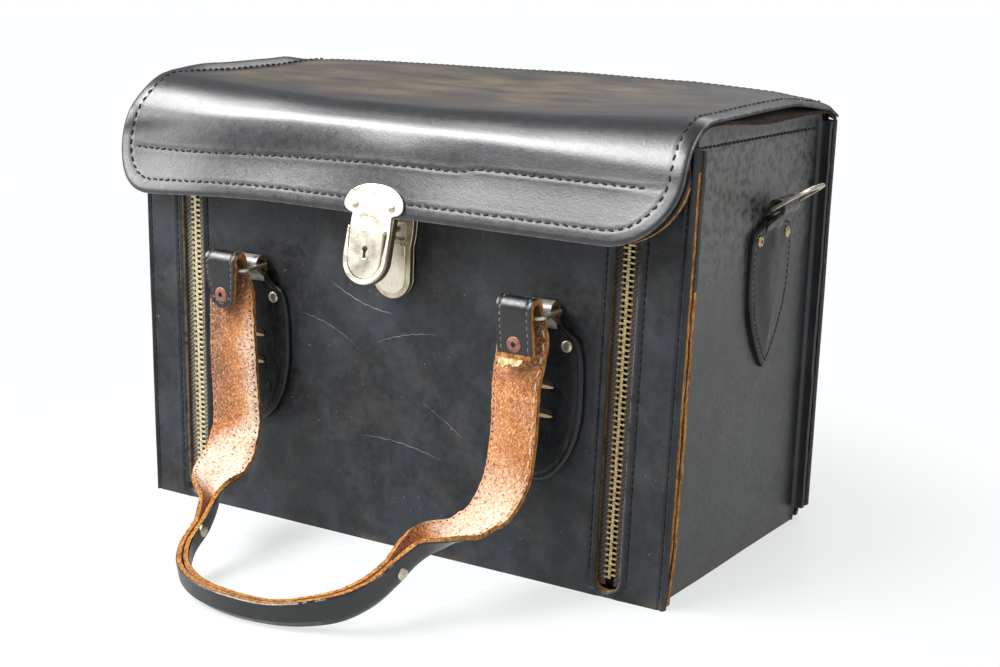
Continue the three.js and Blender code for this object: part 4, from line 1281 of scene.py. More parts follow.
    def grid(self, inset: float) -> tuple[np.ndarray, np.ndarray]:
        """Places across the lid and above its lip, with the corners of the flap rounded.

        Args:
            inset: How far the sheet ends inside the outer leather's edge.

        Returns:
            Arrays of x and of distance above the lip.
        """
        columns, trim = self.rounded_row(inset, 36, 66)
        spans = ((0, 3, 7), (4, 24, 21), (25, 36, 19), (38, 92, 28))
        near = np.concatenate([np.linspace(low, high, steps) for low, high, steps in spans])
        whole = sum(self.lengths(columns))
        far = near[-1] + (whole - trim - near[-1]) * np.linspace(0, 1, 22)[1:, None]
        above = trim + np.vstack([near[:, None] + 0 * trim, far])
        return np.broadcast_to(columns, above.shape)[::-1], above[::-1]

    def rounded_row(self, inset: float, steps: int, middle: int) -> tuple[np.ndarray, np.ndarray]:
        """A line along the lip with the two rounded corners.

        Args:
            inset: How far the line lies inside the outer leather's edge.
            steps: Places round each corner.
            middle: Places between the corners.

        Returns:
            Its x and its distance above the lip.
        """
        half = self.half_width - inset
        left, right = (size - inset for size in self.corner)
        turns = np.radians(np.linspace(0, 90, steps + 1))[1:]
        rise = 1 - np.cos(turns)
        ends = ((left - half - left * np.sin(turns))[::-1], half - right + right * np.sin(turns))
        x = np.concatenate([ends[0], np.linspace(left - half, half - right, middle), ends[1]])
        return x, inset + np.concatenate([left * rise[::-1], np.zeros(middle), right * rise])

    def edge_distance(self, x: np.ndarray, above: np.ndarray) -> np.ndarray:
        """Distance in millimetres from the nearest edge of the outer leather."""
        aside = self.half_width - np.abs(x)
        corner = np.where(x < 0, *self.corner)
        in_corner = (above < corner) & (aside < corner)
        reach = np.hypot(corner - above, corner - aside)
        low = np.where(in_corner, corner - reach, np.minimum(above, aside))
        return np.minimum(low, sum(self.lengths(x)) - above)

    def cross_height(self, x: Any) -> Any:
        """Height over the lip of the row across the flap, with its step near the middle."""
        step, fall = 2.6 * smoothstep(x, 52, 66), 5.5 * smoothstep(-np.asarray(x), -40, 187)
        return self.cross_seam - 1.2 + step - fall

    def fold(self, x: np.ndarray, above: np.ndarray) -> np.ndarray:
        """How far the flap is pushed in along its cross seam and where the bend runs out."""
        seam = self.cross_height(x)
        tent = smoothstep(above / seam, 0, 1) - smoothstep(above - seam, 0, 24)
        over = above - self.flap_length(x)
        ease = 1.5 * smoothstep(over, -13, 13) * smoothstep(self.stage(x, above), 1.05, 1.7)
        return -1.9 * tent * (1 - 0.85 * np.exp(-(((x - 4.0) / 34.0) ** 2))) - ease

    def relief(self, x: np.ndarray, above: np.ndarray, places: Points) -> np.ndarray:
        """How far the outer leather stands out: its waves, its fold, its grooves and its edge.

        Args:
            x: Across the lid.
            above: Distance above the lip.
            places: Where that is, for the waves.

        Returns:
            Millimetres for each place.
        """
        edge = self.edge_distance(x, above)
        out = 0.4 * wave(places, 60.0, 3.1) + 0.05 * wave(places, 17.0, 8.2) + self.fold(x, above)
        out = out + groove(edge - self.edge_seam, 0.10, 0.9, 0.04)
        out = out + groove(above - self.cross_height(x), 0.10, 1.0, 0.04) * (np.abs(x) < self.half_width - 11)
        return out - 1.0 * np.exp(-edge / 1.1)

    def sheet(self, inset: float, top: float, bottom: float) -> tuple[Grid, Grid, np.ndarray, np.ndarray]:
        """The two faces of one leather of the lid, with its waves and seams.

        Args:
            inset: How far the sheet ends inside the outer leather's edge.
            top: Depth of its upper face under the lid's outer face.
            bottom: Depth of its lower face.

        Returns:
            Upper face, lower face, x and distance above the lip.
        """
        x, above = self.grid(inset)
        t = self.stage(x, above)
        outer, inner = self.surface(x, t, top), self.surface(x, t, bottom)
        normal = self.normal(x, t)
        soft = 0.4 * wave(outer, 60.0, 3.1) + self.fold(x, above)
        face = self.relief(x, above, outer) if inset == 0 else soft
        return outer + normal * face[..., None], inner + normal * soft[..., None], x, above

    def wear(self, x: np.ndarray, above: np.ndarray, places: Grid) -> np.ndarray:
        """How brown with dust (above 0) the leather is, and the pale line of painted highlight along its edge (below
        0).

        Args:
            x: Across the lid.
            above: Distance above the lip.
            places: Where that is, for the dust's clouds.

        Returns:
            Wear of each place.
        """
        t = self.stage(x, above)
        across = 1 - 0.55 * smoothstep(x, 40, 170)
        along = hump(t, (0.02, 0.2), (0.72, 1.12))
        cloud = 0.8 + 0.5 * wave(places, 38.0, 5.5)
        inside = smoothstep(self.edge_distance(x, above), self.edge_seam, self.edge_seam + 6)
        # Painted highlight: a pale line on the last half millimetre before the edge, standing for the rounded edge
        # catching the light
        rim = 0.4 * (1 - smoothstep(self.edge_distance(x, above), 0.1, 0.5))
        return np.clip(across * along * cloud * inside, 0, 1) - rim

    def sag(self, x: np.ndarray, above: np.ndarray) -> np.ndarray:
        """How far the lining's right edge hangs away from the outer leather."""
        aside = smoothstep(x, self.half_width - 9, self.half_width - 1)
        return 5.2 * aside * hump(self.stage(x, above), (0.08, 0.45), (0.55, 0.98))

    def seams(self) -> None:
        """Sews the row round the edges and the row across the flap."""
        draft = Draft("lid_stitches", [THREAD])
        half = self.half_width - self.edge_seam
        rows = [(*self.rounded_row(self.edge_seam, 13, 120), LID_SEAM)]
        for end, corner in zip((-half, half), self.corner):
            edge = np.full(120, end)
            high = sum(self.lengths(edge[:1]))[0] - self.edge_seam
            rows.append((edge, np.linspace(corner, high, 120), LID_SEAM))
        rear = np.linspace(-half, half, 120)
        rows.append((rear, sum(self.lengths(rear)) - self.edge_seam, REAR_SEAM))
        cross = np.linspace(-self.half_width + 12, self.half_width - 20, 220)
        rows.append((cross, self.cross_height(cross), LID_SEAM))
        for xs, ups, seam in rows:
            t = self.stage(xs, ups)
            normals = self.normal(xs, t)
            seat = self.surface(xs, t)
            seam.sew(draft, seat + normals * (self.relief(xs, ups, seat) + 0.15)[:, None], normals)
        draft.build("lid")

    def build(self) -> None:
        """Builds both leathers and their stitches."""
        outer, inner, x, above = self.sheet(0.0, 0.0, self.outer)
        top = Draft("lid_leather_sheet", [LID, FLESH, DYED_EDGE])
        top.slab(outer[::-1], inner[::-1], (0, 1, 2), self.wear(x, above, outer)[::-1])
        top.build("lid", bevel=0.7, replaces=["lid_panel"])
        under = self.outer + self.gap
        outer, inner, x, above = self.sheet(self.inset, under, under + self.lining)
        sag = self.sag(x, above)
        corner = smoothstep(x, 140, 186) * (1 - smoothstep(above, 34, 52))
        for layer in (outer, inner):
            layer[..., 2] -= sag + 1.0 * corner
            layer[..., 0] += 3.4 * corner
        low = Draft("lid_lining_sheet", [LINING, LINING, BROWN_EDGE, RAW])
        low.slab(outer[::-1], inner[::-1], (0, 1, 2))
        low.recolour(2, 3, lambda at: at[0] > 130 and at[2] < 228)
        low.build("lid", bevel=0.4, replaces=["lid_lining"])
        self.seams()


@dataclass
class BoxLeathers:
    """The case's own leathers: sides with turned edges, front strips, back, welts."""

    height: float = 246.0
    flange_foot: float = 8.0
    flange_front: float = 243.0
    flange_rear: float = 240.0
    window_out: float = 151.8
    window_foot: float = 4.0
    corner_seam: float = 176.6
    raw_side: float = 172.0
    raw_welt: float = 232.0
    zip_seam: float = 4.3

    def window_distance(self, x: Any, z: Any) -> Any:
        """Distance from the rounded foot and the sides of a zip's window."""
        low = np.minimum(0, np.asarray(z) - self.window_foot - FORM.window)
        return np.hypot(np.abs(x) - FORM.zip_x, low) - FORM.window

    def border(self, x: Any, z: Any) -> Any:
        """Height of the rolled border beside a zip's window and of its stitch groove."""
        d = self.window_distance(x, z)
        roll = 0.75 * np.exp(-(((d - 2.0) / 1.5) ** 2)) - 0.9 * np.exp(-d / 0.7)
        return roll + groove(d - self.zip_seam, 0.55, 0.9, 0.2)

    def strip_relief(self, x: np.ndarray, z: np.ndarray) -> np.ndarray:
        """How far a front strip stands out at places across and up."""
        edge = FORM.flange - x
        out = self.border(x, z) + groove(x - self.corner_seam, 0.6, 0.7, 0.2)
        out = out + 0.5 * np.exp(-(((edge - 1.5) / 1.0) ** 2)) - 1.1 * np.exp(-edge / 0.5)
        return out + 0.35 * wave(Wall(Face.FRONT).lifted(x, z, 0.0), 40.0, 2.2)

    def strip(self) -> Draft:
        """The front strip outside the right zip."""
        rows = stations(0, self.height, 6.0, [4.5, 8.0])
        shares = stations(0, 28.2, 2.2, [0.5, 4.3, 24.8, 27.6]) / 28.2
        start = self.window_edge(rows, 1)
        x = start[:, None] + (FORM.flange - start)[:, None] * shares
        z = np.broadcast_to(rows[:, None], x.shape)
        out = self.strip_relief(x, z)
        wall = Wall(Face.FRONT)
        draft = Draft("strip_leather_right", [BLACK, FLESH, DYED_EDGE, THREAD, RAW, WINDOW_EDGE, PALE_EDGE])
        rubbed = 0.9 * np.exp(-np.abs(self.window_distance(x, z)) / 0.5)
        scuff = 0.5 * smoothstep(z, 14, 0) * smoothstep(x, 160, 178) - rubbed
        draft.slab(wall.lifted(x, z, out), wall.lifted(x, z, -FORM.leather), (0, 1, 2), scuff)
        draft.recolour(2, 5, lambda at: at[0] < 162)
        draft.recolour(5, 4, lambda at: 3 < at[2] < 13)
        widen = FORM.flare / FORM.height / FORM.half_width
        edge = self.window_out + 0.45
        draft.recolour(0, 6, lambda at: at[0] / (1 + at[2] * widen) < edge and at[2] > 12)
        for across, low in ((self.corner_seam, 6), (FORM.zip_x + FORM.window + self.zip_seam, 13)):
            heights = np.linspace(low, 240, 90)
            xs = np.full(90, across)
            wall.sew(draft, SEAM, xs, heights, self.strip_relief(xs, heights) + 0.25, 3)
        return draft

    def window_edge(self, z: np.ndarray, side: int) -> np.ndarray:
        """The edge of a leather along a window, which curves in round its foot."""
        t = np.clip(np.sqrt(np.maximum(0, (z - self.window_foot)) / FORM.window), 0, 1)
        shut = FORM.zip_x + side * 0.15
        return shut + (FORM.zip_x + side * FORM.window - shut) * (1 - (1 - t) ** 2)

    def lid_clearance(self, lid: LidAssembly, x: float, y: np.ndarray) -> np.ndarray:
        """Height of the lid's underside over places at the side.

        Args:
            lid: The lid.
            x: How far out the places are.
            y: Where they are from front to rear.

        Returns:
            Heights in millimetres.
        """
        start = lid.sharp_corner()[0] + lid.radius(x) * lid.tangent()
        t = np.clip((lid.rear[0] - y) / (lid.rear[0] - start), 0, 1.2)
        under = lid.outer + lid.gap + lid.lining
        return lid.surface(np.full(len(y), x), t, under)[..., 2]

    def side_section(self) -> tuple[np.ndarray, np.ndarray, np.ndarray, np.ndarray]:
        """The side leather seen from above: its middle and both edges turned outwards.

        Returns:
            x and y of its outer face, then x and y of its inner face.
        """
        turn = np.radians(np.linspace(0, 90, 6))
        inner_y, outer_y, under_y = 77.1, 79.6, 82.6
        ends = [FORM.flange, 178.0]
        rear_x = np.concatenate([ends, 176.0 - 2.5 * np.sin(turn)])
        rear_y = np.concatenate([[outer_y] * 2, outer_y - 2.5 * (1 - np.cos(turn))])
        middle = stations(-inner_y, inner_y, 6.0)[1:-1]
        x = np.concatenate([rear_x, np.full(len(middle), FORM.half_width), rear_x[::-1]])
        y = -np.concatenate([rear_y, -middle, -rear_y[::-1]])
        low_x = np.concatenate([ends, 174.0 - 3.5 * np.sin(turn)])
        low_y = np.concatenate([[under_y] * 2, under_y - 3.5 * (1 - np.cos(turn))])
        back_x = np.concatenate([low_x, np.full(len(middle), FORM.half_width - FORM.leather), low_x[::-1]])
        back_y = -np.concatenate([low_y, -middle, -low_y[::-1]])
        return x, y, back_x, back_y

    def side(self, lid: LidAssembly) -> Draft:
        """The right side leather with both its edges turned outwards.

        Args:
            lid: The lid, whose underside it follows.

        Returns:
            The mesh.
        """
        x, y, back_x, back_y = self.side_section()
        turned = x > FORM.half_width + 1.2
        flange_top = np.where(y < 0, self.flange_front, self.flange_rear)
        clear = self.lid_clearance(lid, 178.0, y) - 1.4
        top = np.where(turned, flange_top, np.minimum(clear, 252.6))
        foot = np.where(turned & (y > 0), self.flange_foot, 0.0)
        rows = np.concatenate([np.linspace(0, 0.93, 42), np.linspace(0.938, 1, 12)])
        z = foot + (top - foot) * rows[:, None]
        flat = (~turned) * smoothstep(78 - np.abs(y), 0, 12)
        base = np.stack([np.broadcast_to(x, z.shape), np.broadcast_to(y, z.shape), z], axis=-1)
        bulge = self.side_bulge(base)
        ripple = groove(z - self.side_line(y), 0.4, 0.9, 0.15) * flat
        torn = 2.2 * smoothstep(30 - z, 0, 26) * (y < 0)
        rag = np.where(turned, 0.45 * wave(base, 9.0, 4.4) - torn, 0)
        outer = base.copy()
        outer[..., 0] += bulge * flat + ripple + rag * (x > 179)
        behind = np.stack([np.broadcast_to(back_x, z.shape), np.broadcast_to(back_y, z.shape), z], axis=-1)
        behind[..., 0] += bulge * flat * 0.5 + rag * (back_x > 179)
        draft = Draft("side_leather_right", [SIDE, FLESH, RAW, THREAD, DYED_EDGE])
        patchy = smoothstep(-y - 70, 0, 8) * smoothstep(wave(base, 12.0, 9.1), 0.2, 0.6)
        # Dust near the foot and along the front edge; the pale rub that rises towards the top is painted sheen,
        # standing for the upper side lit brighter
        scuff = -0.28 * smoothstep(z, 110, 235) * flat + 0.4 * smoothstep(10 - z, 0, 10) + 0.3 * patchy
        draft.slab(FORM.place(outer), FORM.place(behind), (0, 1, 2), scuff)
        draft.recolour(2, 4, lambda at: at[1] > 0 or at[2] > self.raw_side)
        ys = np.linspace(-74, 76, 120)
        path = np.column_stack([np.full(120, FORM.half_width), ys, self.side_line(ys)])
        path[:, 0] += self.side_bulge(path) * smoothstep(78 - np.abs(ys), 0, 12) - 0.05
        SIDE_SEAM.sew(draft, FORM.place(path), np.tile([1.0, 0, 0], (120, 1)), 3)
        return draft

    def side_bulge(self, places: Points) -> np.ndarray:
        """How far the side leather bulges out at upright places."""
        high = smoothstep(places[..., 2], 170, 252)
        return 0.5 * wave(places, 70.0, 7.7) + 0.12 * wave(places, 26.0, 1.9) - 2.2 * high

    def side_line(self, y: Any) -> Any:
        """Height of the row of stitches under the side leather's top edge."""
        return 242.6 - (np.asarray(y) + 78) * 0.042

    def welt(self, face: Face) -> Draft:
        """The raw layers in a corner seam on the right.

        Args:
            face: Which of its two corners, the front or the rear one.

        Returns:
            The mesh.
        """
        front = face is Face.FRONT
        low, high = (0.0, self.flange_front) if front else (self.flange_foot, self.flange_rear)
        y0, y1 = (-86.7, -82.9) if front else (86.7, 82.9)
        draft = Draft(f"welt_layers_{face.value}_right", [RAW if front else DYED_EDGE, DYED_EDGE, BROWN_EDGE])
        rows = np.linspace(low, high, 120)
        middle = (y0 + y1) / 2
        for near, far, reach in ((y0, middle + 0.12 * (y0 - y1), 0.0), (middle, y1, -0.5)):
            rag = np.array([noise.noise(Vector((near, 3.0, z / 7.0))) for z in rows])
            x = FORM.flange + reach + 0.4 * rag
            x = x - (3.2 * smoothstep(34 - rows, 0, 30) if front else 0)
            face_x = np.stack([x - 0.3, x, x - 0.3], axis=-1)
            across = np.broadcast_to(np.linspace(near, far, 3), face_x.shape)
            z = np.broadcast_to(rows[:, None], face_x.shape)
            outer = FORM.place(np.stack([face_x, across, z], axis=-1))
            inner = FORM.place(np.stack([np.full(z.shape, 171.0), across, z], axis=-1))
            if front:
                draft.slab(outer, inner)
            else:
                draft.slab(outer[:, ::-1], inner[:, ::-1], (2, 2, 2) if near == middle else (0, 0, 0))
        if front:
            draft.recolour(0, 1, lambda at: at[2] > self.raw_welt)
        return draft

    def back(self) -> None:
        """The back leather, whose edges reach past the side leathers."""
        wall = Wall(Face.REAR)
        rows = stations(0, 247.5, 6.0)
        lines = [-self.corner_seam, self.corner_seam, -179.5, 179.5]
        columns = stations(-FORM.flange, FORM.flange, 7.0, lines)
        x, share = np.meshgrid(columns, rows / rows[-1])
        outside = smoothstep(np.abs(x), 173.2, 174.4)
        low = self.flange_foot * outside
        high = 248.4 - 8.4 * outside - 3.2 * smoothstep(np.abs(x), 140, 176) * (1 - outside)
        z = low + (high - low) * share
        edge = FORM.flange - np.abs(x)
        out = groove(np.abs(x) - self.corner_seam) - 0.8 * np.exp(-edge / 0.6)
        out = out + 0.5 * wave(wall.lifted(x, z, 0.0), 60.0, 6.1)
        draft = Draft("back_leather", [BLACK, FLESH, DYED_EDGE, THREAD])
        draft.slab(wall.lifted(x, z, out), wall.lifted(x, z, -FORM.leather), (0, 1, 2))
        heights = np.linspace(12, 236, 90)
        for side in Side:
            xs = np.full(90, side.sign * self.corner_seam)
            seat = 0.5 * wave(wall.lifted(xs, heights, 0.0), 60.0, 6.1) - 0.15
            wall.sew(draft, SEAM, xs, heights, seat, 3)
        draft.build("case", bevel=0.6, replaces=["back_panel"])

    def build(self, lid: LidAssembly) -> None:
        """Builds every leather of the case body.

        Args:
            lid: The lid, whose underside the side leathers follow.
        """
        pairs = (
            (self.strip(), "front_strip", 0.6),
            (self.side(lid), "side_panel", 0.6),
            (self.welt(Face.FRONT), "corner_welt_front", 0.3),
            (self.welt(Face.REAR), "corner_welt_back", 0.3),
        )
        for draft, node, bevel in pairs:
            draft.build("case", bevel=bevel, replaces=[f"{node}_right"])
            draft.mirrored().build("case", bevel=bevel, replaces=[f"{node}_left"])
        self.back()


@dataclass
class DropPanel:
    """The front panel between the zips, hinged along its foot."""

    box: BoxLeathers
    height: float = 246.0
    scratches: tuple[tuple[float, ...], ...] = (
        (-42.0, 149.0, 0.0, 136.0, -3.0, 0.55), (-64.0, 128.0, -22.0, 112.0, 3.0, 0.45),
        (-10.0, 118.0, 30.0, 128.0, 2.0, 0.4), (22.0, 88.0, 52.0, 70.0, 1.0, 0.45),
        (-20.0, 62.0, 34.0, 57.0, 2.5, 0.4), (66.0, 30.0, 69.0, 17.0, 0.0, 0.8),
    )

    def relief(self, x: np.ndarray, z: np.ndarray) -> np.ndarray:
        """How far the panel stands out at places across and up."""
        flat = Wall(Face.FRONT).lifted(x, z, 0.0)
        return self.box.border(x, z) + 0.5 * wave(flat, 85.0, 1.3) + 0.2 * wave(flat, 28.0, 4.8)

    def build(self) -> None:
        """Builds the panel and its rows of stitches."""
        wall = Wall(Face.FRONT)
        rows = stations(0, self.height, 6.0, [4.5, 8.0])
        shares = stations(-137.4, 137.4, 6.0, [-136.9, 136.9, -133.1, 133.1]) / 137.4
        half = self.box.window_edge(rows, -1)
        x = half[:, None] * shares
        z = np.broadcast_to(rows[:, None], x.shape)
        flat = wall.lifted(x, z, 0.0)
        scuff = 0.5 * smoothstep(6 - z, 0, 6) * smoothstep(wave(flat, 16.0, 2.9), 0.0, 0.4)
        draft = Draft("drop_panel_leather", [BLACK, FLESH, WINDOW_EDGE, THREAD, RAW, PALE_EDGE])
        draft.slab(wall.lifted(x, z, self.relief(x, z)), wall.lifted(x, z, -FORM.leather), (0, 1, 2), scuff)
        draft.recolour(2, 4, lambda at: abs(at[0]) > 130 and 3 < at[2] < 13)
        heights = np.linspace(13, 240, 90)
        for side in Side:
            xs = np.full(90, side.sign * (FORM.zip_x - FORM.window - self.box.zip_seam))
            wall.sew(draft, SEAM, xs, heights, self.relief(xs, heights) + 0.25, 3)
        self.scratch(wall, draft)
        draft.build("front_panel", bevel=0.6, replaces=["front_panel"])

    def scratch(self, wall: Wall, draft: Draft) -> None:
        """Adds the long thin scratches: grooves whose torn lips show pale."""
        for x0, z0, x1, z1, bow, wide in self.scratches:
            t = np.linspace(0, 1, 22)
            x = x0 + (x1 - x0) * t
            z = z0 + (z1 - z0) * t + bow * 4 * t * (1 - t)
            half = 0.5 * wide * np.sin(np.pi * np.clip(t, 0.02, 0.98)) ** 0.5
            z = z + 0.25 * np.sin(t * 40 + x0)
            out = self.relief(x, z) + 0.12
            strip = [wall.lifted(x, z + half * way, out - 0.09 * abs(way)) for way in (-1, 0, 1)]
            draft.grid(np.stack(strip), slot=5, flip=True)


TOOTH_HALF = np.array([[3.7, 0.30], [3.0, 0.52], [1.2, 0.42], [0.2, 0.60], [-0.8, 0.60]])
TOOTH_OUTLINE = np.vstack([TOOTH_HALF * [1, -1], [[-1.05, 0.0]], TOOTH_HALF[::-1]])
TOOTH_DEPTHS = np.array([0.55, 0.85, 0.85, 1.0, 0.9, 0.8, 0.9, 1.0, 0.85, 0.85, 0.55])


@dataclass
class ZipFastener:
    """One metal zip: two tapes, interlocking cast teeth, a slider and its pull."""

    side: Side
    tape: Finish
    metal: Finish
    pitch: float = 3.1
    tooth: float = 1.35
    depth: float = 2.6
    reach: float = 4.4
    tape_back: float = 3.3
    tape_thick: float = 0.8
    foot: float = 10.0
    tops: tuple[float, float] = (240.0, 225.0)

    def half(self, way: int, top: float) -> tuple[Draft, Draft]:
        """One half of the zip, drawn for the right zip.

        Args:
            way: 1 for the half away from the middle of the case, -1 for the other.
            top: Height of its last tooth.

        Returns:
            The teeth and the tape.
        """
        wall = Wall(Face.FRONT, FORM.zip_x)
        label = "outer" if way > 0 else "inner"
        teeth = Draft(f"zip_{label}_elements_{self.side.value}", [self.metal])
        middle = -(self.tape_back + self.tape_thick / 2)
        shift = self.foot + (self.pitch / 2 if way > 0 else 0)
        outline = (TOOTH_OUTLINE * [way, self.tooth * 0.98])[::-way]
        depths = (TOOTH_DEPTHS * self.depth / 2)[::-way]
        n = len(outline)
        faces = [tuple(range(n)), tuple(range(n, 2 * n))[::-1], *(face[::-1] for face in band(0, n))]
        for k in range(int((top - shift) / self.pitch)):
            up = outline[:, 1] + (shift + k * self.pitch + self.tooth / 2)
            ends = [np.column_stack([outline[:, 0], up, middle + size]) for size in (depths, -depths)]
            teeth.add(wall.place(np.concatenate(ends)), faces)
        tape = Draft(f"zip_{label}_twill_{self.side.value}", [self.tape])
        rows = stations(6, top, 3.0)
        grid_x, grid_z = np.meshgrid((way * np.linspace(2.6, 14.9, 9))[::way], rows)
        ripple = 0.12 * np.sin(grid_z * FULL_TURN / self.pitch) * (np.abs(grid_x) < 4.6)
        tape.slab(
            wall.lifted(grid_x, grid_z, -self.tape_back + ripple),
            wall.lifted(grid_x, grid_z, -self.tape_back - self.tape_thick),
        )
        return teeth, tape

    def build(self) -> None:
        """Builds both halves; the slider and pull stay as CAD under a finish."""
        halves = ((1, "outer", "case"), (-1, "inner", "front_panel"))
        for (way, label, body), top in zip(halves, self.tops):
            for draft, node, bevel in zip(self.half(way, top), ("teeth", "tape"), (0.2, 0.0)):
                made = draft if self.side is Side.RIGHT else draft.mirrored(draft.name)
                stands_for = [f"zip_{node}_{label}_{self.side.value}"]
                made.build(body, bevel=bevel, segments=1, sharp=50, replaces=stands_for)


def bezier(controls: Sequence[Sequence[float]], steps: int) -> Points:
    """Samples a Bezier curve of two or three controls past its start.

    Args:
        controls: Three or four places in the plane.
        steps: Number of samples after the first place.

    Returns:
        Places, without the start.
    """
    p = np.asarray(controls, float)
    t = np.linspace(0, 1, steps + 1)[1:, None]
    n = len(p) - 1
    return sum(math.comb(n, k) * (1 - t) ** (n - k) * t**k * p[k] for k in range(n + 1))


def arc(centre: tuple[float, float], radius: float, start: float, end: float, steps: int) -> Points:
    """Samples an arc in the plane, with its ends, from start to end in degrees."""
    turns = np.radians(np.linspace(start, end, steps + 1))
    return np.array(centre) + radius * np.column_stack([np.cos(turns), np.sin(turns)])


def symmetric_plate(
    draft: Draft, outer: Points, inner: Points | None, low: float, high: float, place: Placer, slot: int = 0,
) -> None:
    """Adds a flat plate that is the same on both sides of its middle line.

    Args:
        draft: The mesh to add to.
        outer: Right half of its outline, from the middle of its foot up to its top.
        inner: Right half of a hole, from its top down to its foot, or None.
        low: Height of the face behind.
        high: Height of the face that is seen.
        place: Turns across, up and height into places.
        slot: Which finish it takes.
    """
    loop = outer if inner is None else np.vstack([outer, inner])
    n = len(loop)
    faces = prism(n, (len(outer) - 1, n - 1))
    for way in (1, -1):
        ends = [place(np.column_stack([loop * [way, 1], np.full(n, height)])) for height in (low, high)]
        draft.add(np.vstack(ends), [face[::way] for face in faces], slot)


def dome(
    draft: Draft, place: Placer, at: Triple, radius: float, height: float, hole: float = 0.0, slot: int = 0,
) -> None:
    """Adds a domed rivet head, with a hole in its middle when it has one.

    Args:
        draft: The mesh to add to.
        place: Turns across, up and out into places.
        at: Across, up and out of its seat.
        radius: Its radius.
        height: Its height.
        hole: Radius of a hole in its middle.
        slot: Which finish it takes.
    """
    sides, sunk, shoulder = 24, -0.6, 0.25
    turns = circle(sides)
    rings = [(radius, sunk), (radius, height * shoulder)]
    for a in np.radians(np.linspace(0, 90, 7))[1:-1]:
        rise = shoulder + (1 - shoulder) * math.sin(a)
        rings.append((hole + (radius - hole) * math.cos(a), height * rise))
    rings.append((max(hole, radius * 0.06), height))
    if hole:
        rings.append((hole, sunk))
    verts = [
        np.column_stack([at[0] + r * np.cos(turns), at[1] + r * np.sin(turns), np.full(sides, at[2] + h)])
        for r, h in rings
    ]
    last = (len(rings) - 1) * sides
    faces = [face for ring in range(0, last, sides) for face in band(ring, sides)]
    if not hole:
        faces.append(tuple(range(last, last + sides)))
    draft.add(place(np.vstack(verts)), faces, slot)


